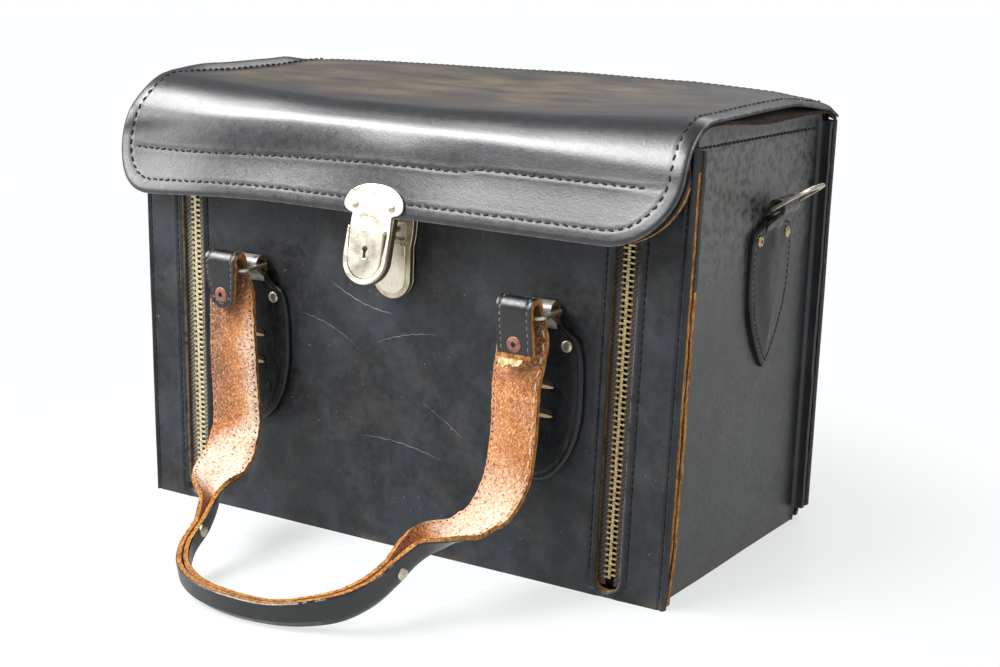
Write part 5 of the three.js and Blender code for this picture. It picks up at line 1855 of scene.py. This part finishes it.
@dataclass
class HaspLock:
    """Mushroom-headed hasp on the flap, its wedge button, and the receiver on the panel."""

    centre: float = 4.0
    lip: tuple[float, float] = (-106.0, 196.0)
    lean: float = 16.2
    head: float = 19.8
    neck: float = 13.3
    half: float = 14.5
    foot: float = -38.4
    rim: float = 2.9
    button_top: float = -8.2
    receiver: float = 2.5

    def on_flap(self, points: Points) -> Points:
        """Turns places across, up and out from the flap into places of the frame."""
        lean = math.radians(self.lean)
        across, up, out = points[..., 0], points[..., 1], points[..., 2]
        y = -out * math.cos(lean) + up * math.sin(lean) + self.lip[0]
        z = out * math.sin(lean) + up * math.cos(lean) + self.lip[1]
        return np.stack([across + self.centre, y, z], axis=-1)

    def outline(self) -> Points:
        """Right half of the hasp's outline, from the foot up to the top of its head."""
        low = self.foot + self.half
        return np.vstack([
            arc((0, low), self.half, -90, 0, 14),
            bezier([(self.half, low), (self.half, -9), (self.neck, -9), (self.neck, 0)], 10),
            bezier([(self.neck, 0), (self.head, 1.4), (self.head, 5)], 8),
            bezier([(self.head, 5), (self.head, 11), (self.neck, 17), (0, 17)], 14),
        ])

    def pocket(self, grow: float = 0.0) -> Points:
        """Right half of the button's pocket, from its top down to its foot."""
        half = self.half - self.rim + grow
        low = self.foot + self.half
        top = self.button_top + grow
        side = np.array([(0, top), (half - 0.6, top), (half, top - 0.6)])
        return np.vstack([side, arc((0, low), half, 0, -90, 14)])

    def body(self) -> None:
        """Builds the plate, the rim round the button and the case behind."""
        draft = Draft("hasp_plate", [NICKEL, DULL_NICKEL])
        symmetric_plate(draft, self.outline(), self.pocket(), 0.2, 1.5, self.on_flap)
        low = self.foot + self.half
        inside = self.half - 0.3
        shell = np.vstack([arc((0, low), inside, -90, 0, 14), [(inside, -0.8), (0, -0.8)]])
        symmetric_plate(draft, shell, self.pocket(), -3.9, 0.2, self.on_flap, 1)
        symmetric_plate(draft, self.pocket(0.3)[::-1], None, -3.9, -2.9, self.on_flap, 1)
        draft.build("lid", bevel=0.45, segments=3, sharp=35, replaces=["hasp_body"], weld=True)
        rim = Draft("hasp_raised_rim", [NICKEL])
        ends = [(inside, -7.0), (self.half - 1.2, self.button_top - 0.2)]
        outer = np.vstack([arc((0, low), self.half - 0.2, -90, 0, 14), ends])
        self.band(rim, outer, self.pocket()[3:][::-1])
        rim.build("lid", bevel=0.5, segments=3, sharp=35, weld=True)
        rivets = Draft("hasp_rivet_heads", [DULL_NICKEL])
        for way in (-1, 1):
            dome(rivets, self.on_flap, (way * 12.2, 4.8, 1.5), 2.3, 1.0)
        rivets.build("lid", replaces=["hasp_rivets"])

    def band(self, draft: Draft, outer: Points, inner: Points) -> None:
        """Adds the U-shaped rim between two half outlines that run the same way.

        Args:
            draft: The mesh to add to.
            outer: Outer half outline.
            inner: Inner half outline.
        """
        a, b = even(outer, 26), even(inner, 26)
        for way in (1, -1):
            profile = np.stack([a, a, b, b], axis=1) * [way, 1]
            out = np.broadcast_to([1.4, 2.3, 2.3, 1.4], profile.shape[:2])
            draft.grid(self.on_flap(np.dstack([profile, out])), flip=way < 0)

    def button(self) -> None:
        """Builds the wedge button with its keyhole."""
        half = self.half - self.rim - 0.4
        low = self.foot + self.half
        top = self.button_top - 0.4
        front_top, front_foot = 3.9, 1.9

        def wedge(points: Points) -> Points:
            """Turns places across, up and 0 or 1 into places on the wedge."""
            share = (top - points[..., 1]) / (top - (self.foot + self.rim))
            front = front_top + (front_foot - front_top) * np.clip(share, 0, 1)
            out = np.where(points[..., 2] > 0.5, front, -0.6)
            return self.on_flap(np.stack([points[..., 0], points[..., 1], out], axis=-1))

        upper = [(half, top - 0.7), (half - 0.7, top), (0, top)]
        outline = np.vstack([arc((0, low), half, -90, 0, 14), upper])
        hole = np.vstack([arc((0, -19), 1.7, 90, -62, 10), [(0.8, -24.0), (0, -24.2)]])
        draft = Draft("hasp_wedge_button", [NICKEL])
        symmetric_plate(draft, outline, hole, 0.0, 1.0, wedge)
        draft.build("lock_button", bevel=0.55, segments=3, sharp=35, replaces=["lock_button"], weld=True)

    def catch(self) -> None:
        """Builds the receiver with its recess."""
        wall = Wall(Face.FRONT, self.receiver)
        foot, top = 146.0, 192.0
        waist, wide = 12.5, 14.5
        outline = np.vstack([
            arc((0, foot + waist), waist, -90, 0, 14),
            [(waist, 176)],
            bezier([(waist, 176), (wide, 184), (wide, top)], 6),
            [(0, top)],
        ])
        recess = np.array([(0, 189.0), (9, 189.0), (9, 180.0), (0, 180.0)])
        draft = Draft("receiver_case", [DULL_NICKEL, NICKEL])
        symmetric_plate(draft, outline, recess, 1.6, 5.2, wall.place)
        symmetric_plate(draft, outline, None, 0.3, 1.7, wall.place)
        low = np.vstack([arc((0, foot + waist), 9.6, -90, 0, 12), [(9.6, 177.5), (0, 177.5)]])
        symmetric_plate(draft, low, None, 5.0, 6.1, wall.place, 1)
        draft.build("front_panel", bevel=0.6, segments=3, sharp=35, replaces=["lock_receiver"], weld=True)

    def build(self) -> None:
        """Builds the whole lock."""
        self.body()
        self.button()
        self.catch()


@dataclass
class ChapePatch:
    """A leather patch whose neck loops round a ring, with its stitches and rivets."""

    label: str
    wall: Wall
    body: str
    ring_height: float
    foot: float
    widest: float
    neck_foot: float
    half: float
    loop_out: float
    rivets: float
    rivet_height: float
    rivet_finish: Finish
    full: float = 0.55
    tip: float = 0.5
    slots: tuple[float, ...] = ()
    neck: float = 10.0
    leather: float = 3.0
    bar: float = 2.25
    seam: float = 3.3
    puff: float = 0.7
    holed: bool = False

    def outline(self) -> Points:
        """Right half of the outline, from the middle of its foot up to the neck."""
        low = self.widest + (self.foot - self.widest) * self.full
        out, up = self.rivets / 2 + 5.2, self.rivet_height + 4.5
        high = self.widest + 0.6 * (up - self.widest)
        foot, side, shoulder = (0, self.foot), (self.half, self.widest), (out, up)
        neck = [(self.neck + 1, self.neck_foot), (self.neck, self.neck_foot + 3.5)]
        return np.vstack([
            [foot],
            bezier([foot, (self.half * self.tip, self.foot), (self.half, low), side], 26),
            bezier([side, (self.half, high), (out + 3.6, up - 4), shoulder], 16),
            bezier([shoulder, (out - 6, up + 3.4), *neck], 12),
        ])

    def patch(self, draft: Draft) -> None:
        """Adds the patch with its stitch groove, dome and slots.

        Args:
            draft: The mesh to add to.
        """
        line = self.outline()
        half, up = line[:, 0].copy(), line[:, 1].copy()
        half[0] = 0.8
        shares = np.sin(np.radians(np.linspace(-90, 90, 29)))
        across = half[:, None] * shares
        height = np.broadcast_to(up[:, None], across.shape)
        dense = even(line, 160)
        gap = np.hypot(np.abs(across)[..., None] - dense[:, 0], height[..., None] - dense[:, 1]).min(axis=-1)
        gap = np.where(height > self.neck_foot, np.minimum(gap, half[:, None] - np.abs(across)), gap)
        out = self.leather + 0.2 + groove(gap - self.seam, 0.45, 0.7, 0.12) - 1.1 * np.exp(-gap / 0.8)
        out = out + self.puff * smoothstep(gap, 4, 20)
        outer = self.wall.lifted(across, height, out)
        draft.slab(outer, self.wall.lifted(across, height, 0.15), (0, 1, 2))
        offset = even(line[2:], 90)
        tangent = unit(np.gradient(offset, axis=0))
        inner = offset + self.seam * np.column_stack([-tangent[:, 1], tangent[:, 0]])
        inner = inner[(inner[:, 0] > 0.4) & (inner[:, 1] < self.rivet_height - 4)]
        loop = np.vstack([inner[::-1] * [-1, 1], inner])
        seat = np.full(len(loop), self.leather - 0.05)
        self.wall.sew(draft, FINE_SEAM, loop[:, 0], loop[:, 1], seat, 3)
        for slot in self.slots:
            self.slot_lip(draft, slot)

    def slot_lip(self, draft: Draft, height: float) -> None:
        """Adds a dark sheet of painted shade for the cut across the patch, and the cream lip under it.

        Args:
            draft: The mesh to add to.
            height: Height of the cut.
        """
        turns = circle(24)
        faces = [tuple(range(24, 48)), *band(0, 24)]
        out = self.leather + 0.2 + self.puff
        # Slot 4 is the painted shade inside the cut, slot 5 the cream lip
        for slot, low, tall, deep in ((4, 0.4, 1.7, 0.45), (5, -1.5, 0.9, 0.9)):
            blunt = [math.copysign(abs(math.cos(a)) ** 0.45, math.cos(a)) for a in turns]
            rim = [(10.2 * b, height + low + tall * math.sin(a)) for a, b in zip(turns, blunt)]
            low_ring = np.array([(x, z, out - 0.8) for x, z in rim])
            top_ring = np.array([(x * 0.97, z, out + deep) for x, z in rim])
            draft.add(self.wall.place(np.vstack([low_ring, top_ring])), faces, slot)

    def loop(self, draft: Draft) -> None:
        """Adds the neck that runs out from the patch, over the ring's bar and back.

        Args:
            draft: The mesh to add to.
        """
        inner_radius = self.bar + 0.35
        outer_radius = inner_radius + 2.5
        turns = np.radians(np.linspace(-48, 190, 20))
        centre = np.array([self.loop_out, self.ring_height])
        round_out = np.column_stack([np.cos(turns), np.sin(turns)])
        start = [self.leather, self.neck_foot] + np.array([[0.4, -2.5], [1.2, 0.5]])
        under = start + [[-2.2, 0.4], [-2.4, 1.0]]
        finish = np.array([[0.4, self.ring_height - 5.0]])
        outer = np.vstack([start, centre + round_out * outer_radius, finish])
        inner = np.vstack([under, centre + round_out * inner_radius, finish + [[1.6, 0]]])
        across = np.linspace(-self.neck, self.neck, 13)
        puff = 0.25 * (1 - (across / self.neck) ** 2)
        grids = []
        for path, swell in ((outer, puff), (inner, 0 * puff)):
            out = path[:, 0, None] + swell
            up = np.broadcast_to(path[:, 1, None], out.shape)
            grids.append(self.wall.lifted(across[None, :] + 0 * out, up, out))
        # The front and rear loops take the pale painted-sheen leather; the wear under 0 turns every loop paler,
        # partly as rubs and partly as painted sheen
        draft.slab(grids[0], grids[1], (6, 1, 7) if self.slots else (0, 1, 2), -0.3)

    def build(self, mirror: bool) -> None:
        """Builds the patch on its wall, or its mirror image.

        Args:
            mirror: Whether this one is on the other side of the case.
        """
        side = Side.LEFT if mirror else Side.RIGHT
        finishes = [PATCH, FLESH, DYED_EDGE, THREAD, DARK_HOLE, CREAM, LOOP_PAINTED_SHEEN, WINDOW_EDGE]
        leather = Draft(f"{self.label}_patch_{side.value}", finishes)
        self.patch(leather)
        self.loop(leather)
        heads = Draft(f"{self.label}_rivet_heads_{side.value}", [self.rivet_finish])
        for way in (-1, 1):
            at = (way * self.rivets / 2, self.rivet_height, self.leather + 0.4)
            dome(heads, self.wall.place, at, 3.2, 1.0, hole=1.0 if self.holed and way < 0 else 0.0)
        for draft, node, bevel in ((leather, "", 0.5), (heads, "_rivets", 0.0)):
            made = draft.mirrored(draft.name) if mirror else draft
            made.build(self.body, bevel=bevel, replaces=[f"{self.label}{node}_{side.value}"])


@dataclass
class StrapHandle:
    """A strap folded over two rings, flat where it hangs and folded into a grip in front."""

    face: Face
    bar_y: float
    ring_x: float = 100.5254
    ring_z: float = 154.0
    reach: float = 113.0
    drop: float = 147.1
    width: float = 31.0
    tab: float = 22.0
    tab_end: float = 22.5
    leather: float = 3.0
    wrap: float = 4.85
    stand: float = 4.0
    rivet_drop: float = 14.8
    twist: float = 7.6
    grip_leg: float = 9.2
    grip_bend: float = 3.3
    route: tuple[tuple[float, float, float, float], ...] = (
        (0.974, -0.006, 0.261, 0), (0.966, -0.002, 0.415, 0), (0.954, 0.004, 0.515, 0),
        (0.935, 0.025, 0.622, 0), (0.905, 0.112, 0.716, 0), (0.856, 0.243, 0.770, 0.05),
        (0.786, 0.360, 0.797, 0.40), (0.716, 0.468, 0.830, 0.85), (0.682, 0.594, 0.884, 1),
        (0.647, 0.728, 0.930, 1), (0.557, 0.845, 0.967, 1), (0.418, 0.924, 0.987, 1),
        (0.239, 0.978, 0.997, 1), (0, 1, 1, 1),
    )

    def point(self, x: float, out: float, drop: float) -> list[float]:
        """A place at some distance out from the ring's bar and down from it."""
        return [x, self.bar_y - out, self.ring_z - drop]

    def tab_out(self, drop: float) -> float:
        """How far in front of the bar the tab hangs, at a distance down from it."""
        return self.wrap - 1.6 * float(smoothstep(drop, 0, self.rivet_drop))

    def tab_share(self, side: Side, drop: float) -> float:
        """Share of the tab's full width that is left, towards its end."""
        left = self.tab_end - drop
        if side is Side.RIGHT:
            return 1.0 - 0.10 * float(smoothstep(3 - left, 0, 3))
        taper = 1.06 - 0.28 * float(smoothstep(drop, -2, self.tab_end - 5))
        return taper * math.sqrt(max(0.03, 1 - max(0.0, 1 - left / 6.5) ** 2))

    def centre_line(self, side: Side) -> tuple[Points, np.ndarray, np.ndarray]:
        """Middle of one half of the strap, from the tab's end to the grip's middle.

        Args:
            side: Which half; both are drawn on the right.

        Returns:
            Places, half widths and shares of folding.
        """
        x = self.ring_x
        rounded = self.tab_end - np.array([0, 0.3, 0.8, 1.5, 2.5, 4, 6])
        drops = np.concatenate([rounded, np.linspace(self.tab_end - 8, -self.stand, 11)])
        path = [self.point(x, self.tab_out(d), d) for d in drops]
        half = [self.tab_share(side, d) * self.tab / 2 for d in drops]
        for turn in np.linspace(0, math.pi, 15)[1:]:
            rise = self.stand + self.wrap * math.sin(turn)
            path.append(self.point(x, self.wrap * math.cos(turn), -rise))
            half.append(self.tab / 2)
        fold = [0.0] * len(path)
        controls = [self.point(x, -self.wrap, -self.stand), self.point(x, -self.wrap + 0.9, 12.0)]
        controls += [self.point(a * x, b * self.reach, c * self.drop) for a, b, c, _ in self.route]
        folds = [0.0, 0.0] + [row[3] for row in self.route]
        places = np.array(controls)
        if side is Side.LEFT:
            hang = (self.ring_z - places[:, 2]) / self.drop
            places[:, 0] *= 1 - 0.055 * smoothstep(hang, 0.78, 0.90)
        table = np.vstack([2 * places[0] - places[1], places, places[-2] * [-1, 1, 1]])
        for i in range(len(table) - 3):
            for t in np.linspace(0, 1, 9)[1:]:
                path.append(list(spline(*table[i:i + 4], t)))
                k = i + t
                flat = self.tab + (self.width - self.tab) * float(smoothstep(k, 0, 1.2))
                half.append(flat / 2)
                low = min(int(k), len(folds) - 2)
                fold.append(folds[low] + (folds[low + 1] - folds[low]) * (k - low))
        return np.array(path), np.array(half), np.array(fold)

    def frames(self, path: Points) -> tuple[Points, Points, Points]:
        """Directions at each place of the strap's middle line.

        Args:
            path: The middle line.

        Returns:
            Directions along it, towards the flesh side and across.
        """
        along = unit(np.gradient(path, axis=0))
        hint = np.column_stack([0 * along[:, 0], along[:, 2], -along[:, 1] + np.abs(along[:, 0])])
        hint = hint - along * np.sum(hint * along, axis=1, keepdims=True)
        normal = unit(hint)
        for _ in range(2):
            blurred = normal.copy()
            blurred[1:-1] = unit(normal[:-2] + 2 * normal[1:-1] + normal[2:])
            normal = unit(blurred - along * np.sum(blurred * along, axis=1, keepdims=True))
        return along, normal, np.cross(along, normal)

    def faces(self, side: Side) -> tuple[Grid, Grid, np.ndarray, Grid]:
        """The flesh side and the grain side of one half as grids.

        Args:
            side: Which half; both are drawn on the right.

        Returns:
            The flesh side, the grain side, how far each row is folded, and directions outward.
        """
        path, half, fold = self.centre_line(side)
        along, normal, across = self.frames(path)
        flat = 1 - np.clip(fold, 0, 1)
        twist = (math.radians(self.twist) * smoothstep(np.arange(len(path)), 36, 54) * flat)[:, None]
        normal, across = (
            normal * np.cos(twist) + across * np.sin(twist), across * np.cos(twist) - normal * np.sin(twist),
        )
        q = np.array([-1, -0.985, -0.95, -0.89, -0.82, -0.76, -0.70, -0.62, -0.5, -0.25])
        q = np.concatenate([q, [0], -q[::-1]])
        share = fold[:, None]
        lean = 4.6 if side is Side.RIGHT else -1.6
        full = self.grip_bend + self.grip_leg + lean * smoothstep(path[:, :1], 12, 62)
        reach = half[:, None] * (1 - share) + full * share
        fine = np.linspace(0, 1, 61)
        arcs = fine[None, :] * reach
        angle = share * (math.pi / 2) * np.clip(arcs / self.grip_bend, 0, 1)
        middles, step = (angle[:, 1:] + angle[:, :-1]) / 2, reach / 60
        walked = [np.cumsum(trace(middles) * step, axis=1) for trace in (np.cos, np.sin)]
        sideways, upward = (np.concatenate([0 * step, way], axis=1) for way in walked)
        a, b, phi = (
            np.array([np.interp(np.abs(q), fine, row) for row in rows]) for rows in (sideways, upward, angle)
        )
        a, b, phi = a * np.sign(q), b - 4.9 * share, phi * np.sign(q)
        curl = 1.4 * (np.abs(q) ** 3)[None, :] * (fold[:, None] < 0.02) * smoothstep(half, 12, 16)[:, None]
        middle = path[:, None] + across[:, None] * a[..., None] + normal[:, None] * (b - curl)[..., None]
        out = -across[:, None] * np.sin(phi)[..., None] + normal[:, None] * np.cos(phi)[..., None]
        rag = 0.45 * wave(middle, 3.0, 3.3) * (np.abs(q) > 0.97)
        middle = middle + across[:, None] * (rag * np.sign(q) * (1 - share))[..., None]
        middle = middle + normal[:, None] * (rag * share)[..., None]
        lumps = 0.22 * wave(middle, 9.0, 6.6)
        flesh = middle + out * (self.leather / 2 + lumps)[..., None]
        pits = 0.4 * np.exp(-(((np.abs(q) - 0.76) / 0.05) ** 2))
        row = np.arange(len(path))
        sewn = ((row > 2) & (row < 36)).astype(float)
        back = self.leather / 2 - pits[None, :] * sewn[:, None] - 0.5 * (np.abs(q) > 0.97)[None, :]
        return flesh, middle - out * back[..., None], fold, out

    def turn(self, points: Points) -> Points:
        """Turns places drawn for the front handle round to this handle's wall."""
        return points if self.face is Face.FRONT else points * [-1, -1, 1]

    def wear(self, side: Side, flesh: Grid) -> np.ndarray:
        """Darker patches (above 0) and bleached ones (below 0) on the flesh side: painted shade under the tab,
        grease at the grip, and one darker half of the width high on the left half of the strap.

        Args:
            side: Which half.
            flesh: Its flesh side.

        Returns:
            Wear of each place.
        """
        rows, columns = flesh.shape[:2]
        hang = np.linspace(0, 1, rows)[:, None]
        across = np.linspace(-1, 1, columns)[None, :] * side.sign
        noisy = 0.35 * wave(flesh, 16.0, 4.2 + side.sign)
        low = hump(hang, (0.42, 0.54), (0.60, 0.68))
        # Painted shade where the strap runs under the tab, and grease at the grip
        behind = (1 - smoothstep(hang, 0.24, 0.33)) + 0.5 * smoothstep(hang, 0.62, 0.70)
        if side is Side.RIGHT:
            return behind - low * (0.9 - 0.5 * np.abs(across + 0.2)) + noisy * 0.5
        # Darker across one half of the width, high on the strap
        darker_half_high = smoothstep(across, -0.3, 0.5) * (1 - smoothstep(hang, 0.45, 0.55))
        pale = smoothstep(-across, -0.1, 0.5) * (hang < 0.5) * smoothstep(hang, 0.24, 0.30)
        return 0.8 * darker_half_high + behind - 1.1 * low * (1 - 0.5 * across**2) - 0.7 * pale + noisy

    def half(self, side: Side) -> Draft:
        """One half of the strap with its stitches, put on its own side.

        Args:
            side: Which half.

        Returns:
            The mesh.
        """
        flesh, grain, _, out = self.faces(side)
        draft = Draft("half", [SUEDE, STRAP_GRAIN, DARK_HOLE, CREAM, THREAD_PAINTED_GLINT, RAW, TORN])
        rows, right = flesh.shape[0], side is Side.RIGHT
        draft.slab(flesh, grain, (0, 1, 5), np.clip(self.wear(side, flesh), -1, 1))
        if right:
            end = self.ring_z - self.tab_end
            draft.recolour(1, 5, lambda at: end - 1 < at[2] < end + 2.6 and abs(at[1] - self.bar_y) < 9)
        # Awl holes: dark brown beads of painted shade in the holes
        for column in (3, -4):
            part = slice(84 if right and column > 0 else 40, rows - 46)
            AWL_HOLES.sew(draft, flesh[part, column], out[part, column], 2)
        if right:
            LOOSE_SEAM.sew(draft, flesh[36:84, 3], out[36:84, 3], 3)
            self.torn_end(draft)
        else:
            self.pointed_row(draft)
        # Tab stitches in the black thread with pale painted glints
        for column in (5, -6):
            TAB_SEAM.sew(draft, grain[5:35, column], -out[5:35, column], 4)
        return draft if right else draft.mirrored("half")

    def torn_end(self, draft: Draft) -> None:
        """Adds the pale tongue of torn leather that curls out under the right tab.

        Args:
            draft: The mesh to add to.
        """
        across = np.linspace(-9.6, 5.5, 22)
        length = 4.4 + 0.7 * np.sin(across * 0.75) + 0.3 * np.sin(across * 1.9 + 1.0) - 0.16 * across
        share = np.linspace(1, 0, 6)[:, None]
        out = self.tab_out(self.tab_end) + 1.1 + 2.0 * share**2
        drop = self.tab_end - 1.2 + length * share
        x = np.broadcast_to(self.ring_x + across, drop.shape)
        y = np.broadcast_to(self.bar_y - out, drop.shape)
        outer = np.stack([x, y, self.ring_z - drop], axis=-1)
        draft.slab(outer, outer + [0.0, 1.0, -0.2], (6, 5, 5))

    def pointed_row(self, draft: Draft) -> None:
        """Adds the two rows of stitches that meet in a point under the left washer.

        Args:
            draft: The mesh to add to.
        """
        drops = np.linspace(15.8, 20.6, 12)
        for way in (-1, 1):
            shift = way * 6.2 * (1 - (drops - 15.8) / 4.8)
            spots = zip(self.ring_x + shift, drops)
            path = [self.point(x, self.tab_out(d) + self.leather / 2, d) for x, d in spots]
            # Stitched in the black thread with pale painted glints
            POINT_SEAM.sew(draft, np.array(path), np.tile([0.0, -1.0, 0.0], (12, 1)), 4)

    def build(self) -> None:
        """Builds the strap, its stitches and its rivets."""
        name = f"{self.face.value}_handle"
        draft = self.half(Side.RIGHT)
        draft.join(self.half(Side.LEFT))
        draft.verts = [self.turn(verts) for verts in draft.verts]
        draft.name = f"{name}_leather"
        draft.build(name, bevel=0.5, replaces=[f"{name}_strap"], weld=True)
        self.rivets()
        self.grip_rivets()

    def shown(self, side: Side) -> str:
        """Returns the side of the case where a rivet drawn for the front handle ends up."""
        return (side if self.face is Face.FRONT else side.other).value

    def grip_rivets(self) -> None:
        """Builds the two rivets that hold the fold, with a head on each side of the grip."""
        label = self.face.value
        for side in Side:
            path, _, fold = self.centre_line(side)
            _, normal, across = self.frames(path)
            at = int(np.argmax(fold > 0.97)) + (0 if side is Side.RIGHT else 3)
            draft = Draft(f"{label}_grip_rivet_head_{side.value}", [DULL_NICKEL])
            for way in (-1, 1):
                def seat(points: Points, at: int = at, way: int = way) -> Points:
                    """Turns across, up and out from one side of the grip into places."""
                    along = np.cross(normal[at], across[at]) * way
                    flat = along * points[..., :1] + normal[at] * points[..., 1:2]
                    spot = path[at] + normal[at] * 1.2 + across[at] * way * (3.9 + points[..., 2:3]) + flat
                    return self.turn(spot * [side.sign, 1, 1])

                dome(draft, seat, (0, 0, 0.0), 3.5, 0.9)
            draft.build(f"{label}_handle", replaces=[f"{label}_grip_rivet_{self.shown(side)}"])

    def rivets(self) -> None:
        """Builds the washers on the tabs, the heads behind them and the shanks between."""
        label = self.face.value
        front = self.bar_y - self.tab_out(self.rivet_drop) - self.leather / 2
        rear = self.bar_y + self.wrap - 0.9 + self.leather / 2
        height, shank = self.ring_z - self.rivet_drop, (rear - front) / 2
        for side in Side:
            washer = Draft(f"{label}_tab_washer_{side.value}", [COPPER, DARK_HOLE])
            for out, facing in ((front, -1), (rear, 1)):
                def seat(points: Points, out: float = out, facing: int = facing) -> Points:
                    """Turns across, up and out from one face of the tab into places."""
                    y = out + facing * points[..., 2]
                    x = side.sign * self.ring_x - facing * points[..., 0]
                    return self.turn(np.stack([x, y, points[..., 1] + height], axis=-1))

                dome(washer, seat, (0, 0, 0.1), 4.4, 0.7, hole=1.5)
                # The shank seen in the washer's hole is dark brown painted shade
                dome(washer, seat, (0, 0, 0.1 - shank), 1.6, shank + 0.1, slot=1)
            washer.build(f"{label}_handle", replaces=[f"{label}_tab_rivet_{self.shown(side)}"])


def flat_ring(draft: Draft, half: float, depth: float, far: float, place: Placer) -> None:
    """Adds a flat ring whose near bar lies along the middle of its place.

    Args:
        draft: The mesh to add to.
        half: Half its width.
        depth: From the near bar's edge to the far bar's edge.
        far: Radius of its far corners.
        place: Turns across, up and height into places; the ring lies below up = 0.
    """
    bar, near, thick = 4.5, 5.0, 1.0
    low, high = bar / 2 - depth, bar / 2
    outer = np.vstack([
        [(0, low)],
        arc((half - far, low + far), far, -90, 0, 8),
        arc((half - near, high - near), near, 0, 90, 6),
        [(0, high)],
    ])
    inner = np.vstack([
        [(0, high - bar)],
        arc((half - bar - 1, high - bar - 1), 1, 90, 0, 4),
        arc((half - far, low + far), far - bar, 0, -90, 8),
        [(0, low + bar)],
    ])
    symmetric_plate(draft, outer, inner, -thick, thick, place)


@dataclass
class RingSet:
    """The flat steel rings of the handles and of the sides."""

    front: Triple = (100.5254, -89.4903, 154.0)
    rear: Triple = (100.5254, 95.7, 154.0)
    aside: Triple = (187.6046, 22.6156, 201.0)
    pitch: float = 33.0

    def level(self, at: Triple, way: int, side: Side) -> Placer:
        """Returns what puts a level ring on a wall.

        Args:
            at: Middle of its near bar on the right.
            way: 1 for the front wall, -1 for the rear wall.
            side: Which side of the case.

        Returns:
            Turns across, up and height into places.
        """
        def place(points: Points) -> Points:
            """Turns across, up and height into places."""
            x = side.sign * at[0] + way * points[..., 0]
            return np.stack([x, at[1] + way * points[..., 1], at[2] + points[..., 2]], axis=-1)

        return place

    def pitched(self, points: Points) -> Points:
        """Turns across, up and height into places on the ring that stands out at the side."""
        lean = math.radians(self.pitch)
        reach, height = -points[..., 1], points[..., 2]
        x = self.aside[0] + reach * math.cos(lean) - height * math.sin(lean)
        z = self.aside[2] + reach * math.sin(lean) + height * math.cos(lean)
        return np.stack([x, self.aside[1] + points[..., 0], z], axis=-1)

    def build(self) -> None:
        """Builds all six rings."""
        for label, at, way in (("front", self.front, 1), ("rear", self.rear, -1)):
            for side in Side:
                draft = Draft(f"{label}_steel_ring_{side.value}", [STEEL])
                flat_ring(draft, 15.5, 24.0, 6.0, self.level(at, way, side))
                stands_for = [f"{label}_ring_{side.value}"]
                draft.build(f"{label}_rings", bevel=0.55, replaces=stands_for, weld=True)
        draft = Draft("side_steel_ring_right", [STEEL])
        flat_ring(draft, 17.5, 26.0, 13.0, self.pitched)
        draft.build("side_ring_right", bevel=0.55, replaces=["side_ring_right"], weld=True)
        draft.mirrored().build("side_ring_left", bevel=0.55, replaces=["side_ring_left"], weld=True)


def chapes() -> list[ChapePatch]:
    """Returns the patches of the right side: front, rear and side."""
    made = [
        ChapePatch(
            label=f"{face.value}_chape", wall=Wall(face, 98.0), body=body,
            ring_height=154, foot=58, widest=104, neck_foot=146, half=27, loop_out=5.7,
            rivets=33, rivet_height=135, rivet_finish=STEEL, slots=(97.0, 113.0),
        )
        for face, body in ((Face.FRONT, "front_panel"), (Face.REAR, "case"))
    ]
    made.append(ChapePatch(
        label="side_chape", wall=Wall(Face.ASIDE, 19.2), body="case",
        ring_height=201, foot=109, widest=163, neck_foot=190, half=25.5, loop_out=8,
        rivets=35, rivet_height=183.2, rivet_finish=BRASS, full=0.5, tip=0.12, puff=2.2, holed=True,
    ))
    return made


@dataclass
class CadDress:
    """Finishes for the CAD nodes, and rounded edges for those that stay in view."""

    finishes: dict[str, Finish] = field(default_factory=lambda: {
        "black_leather": BLACK, "lid_leather": LID, "raw_leather": RAW, "suede": SUEDE, "board": BOARD,
        "zip_tape": TAPE, "brass": BRASS, "nickel": NICKEL, "steel": STEEL, "copper": COPPER,
    })
    rounded: tuple[str, ...] = (
        "zip_slider", "zip_pull", "grip_rivet", "catch_stud", "base_board", "base_panel",
    )

    def dress(self) -> None:
        """Gives each CAD node its slot's finish."""
        slots = {row["node"]: row["material_slot"] for row in frame["record"]["subparts"]}
        for name, node in frame["nodes"].items():
            node.data.materials.clear()
            node.data.materials.append(self.finishes[slots[name]].material())
            if any(word in name for word in self.rounded):
                round_edges(node, 0.3, 2, 35)
            LOG.info("%s takes %s", name, slots[name])


def main() -> None:
    """Builds the studio and the case, piece by piece."""
    logging.basicConfig(level=logging.INFO, format="%(name)s %(message)s")
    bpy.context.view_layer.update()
    Studio().build()
    CadDress().dress()
    lid = LidAssembly()
    lid.build()
    box = BoxLeathers()
    box.build(lid)
    DropPanel(box).build()
    ZipFastener(Side.RIGHT, TAPE, BRASS).build()
    ZipFastener(Side.LEFT, GREY_TAPE, BRIGHT_BRASS, tooth=1.7).build()
    HaspLock().build()
    for patch in chapes():
        patch.build(mirror=False)
        patch.build(mirror=True)
    RingSet().build()
    StrapHandle(Face.FRONT, -108.9903).build()
    StrapHandle(Face.REAR, -115.2).build()


if __name__ == "__main__":
    main()
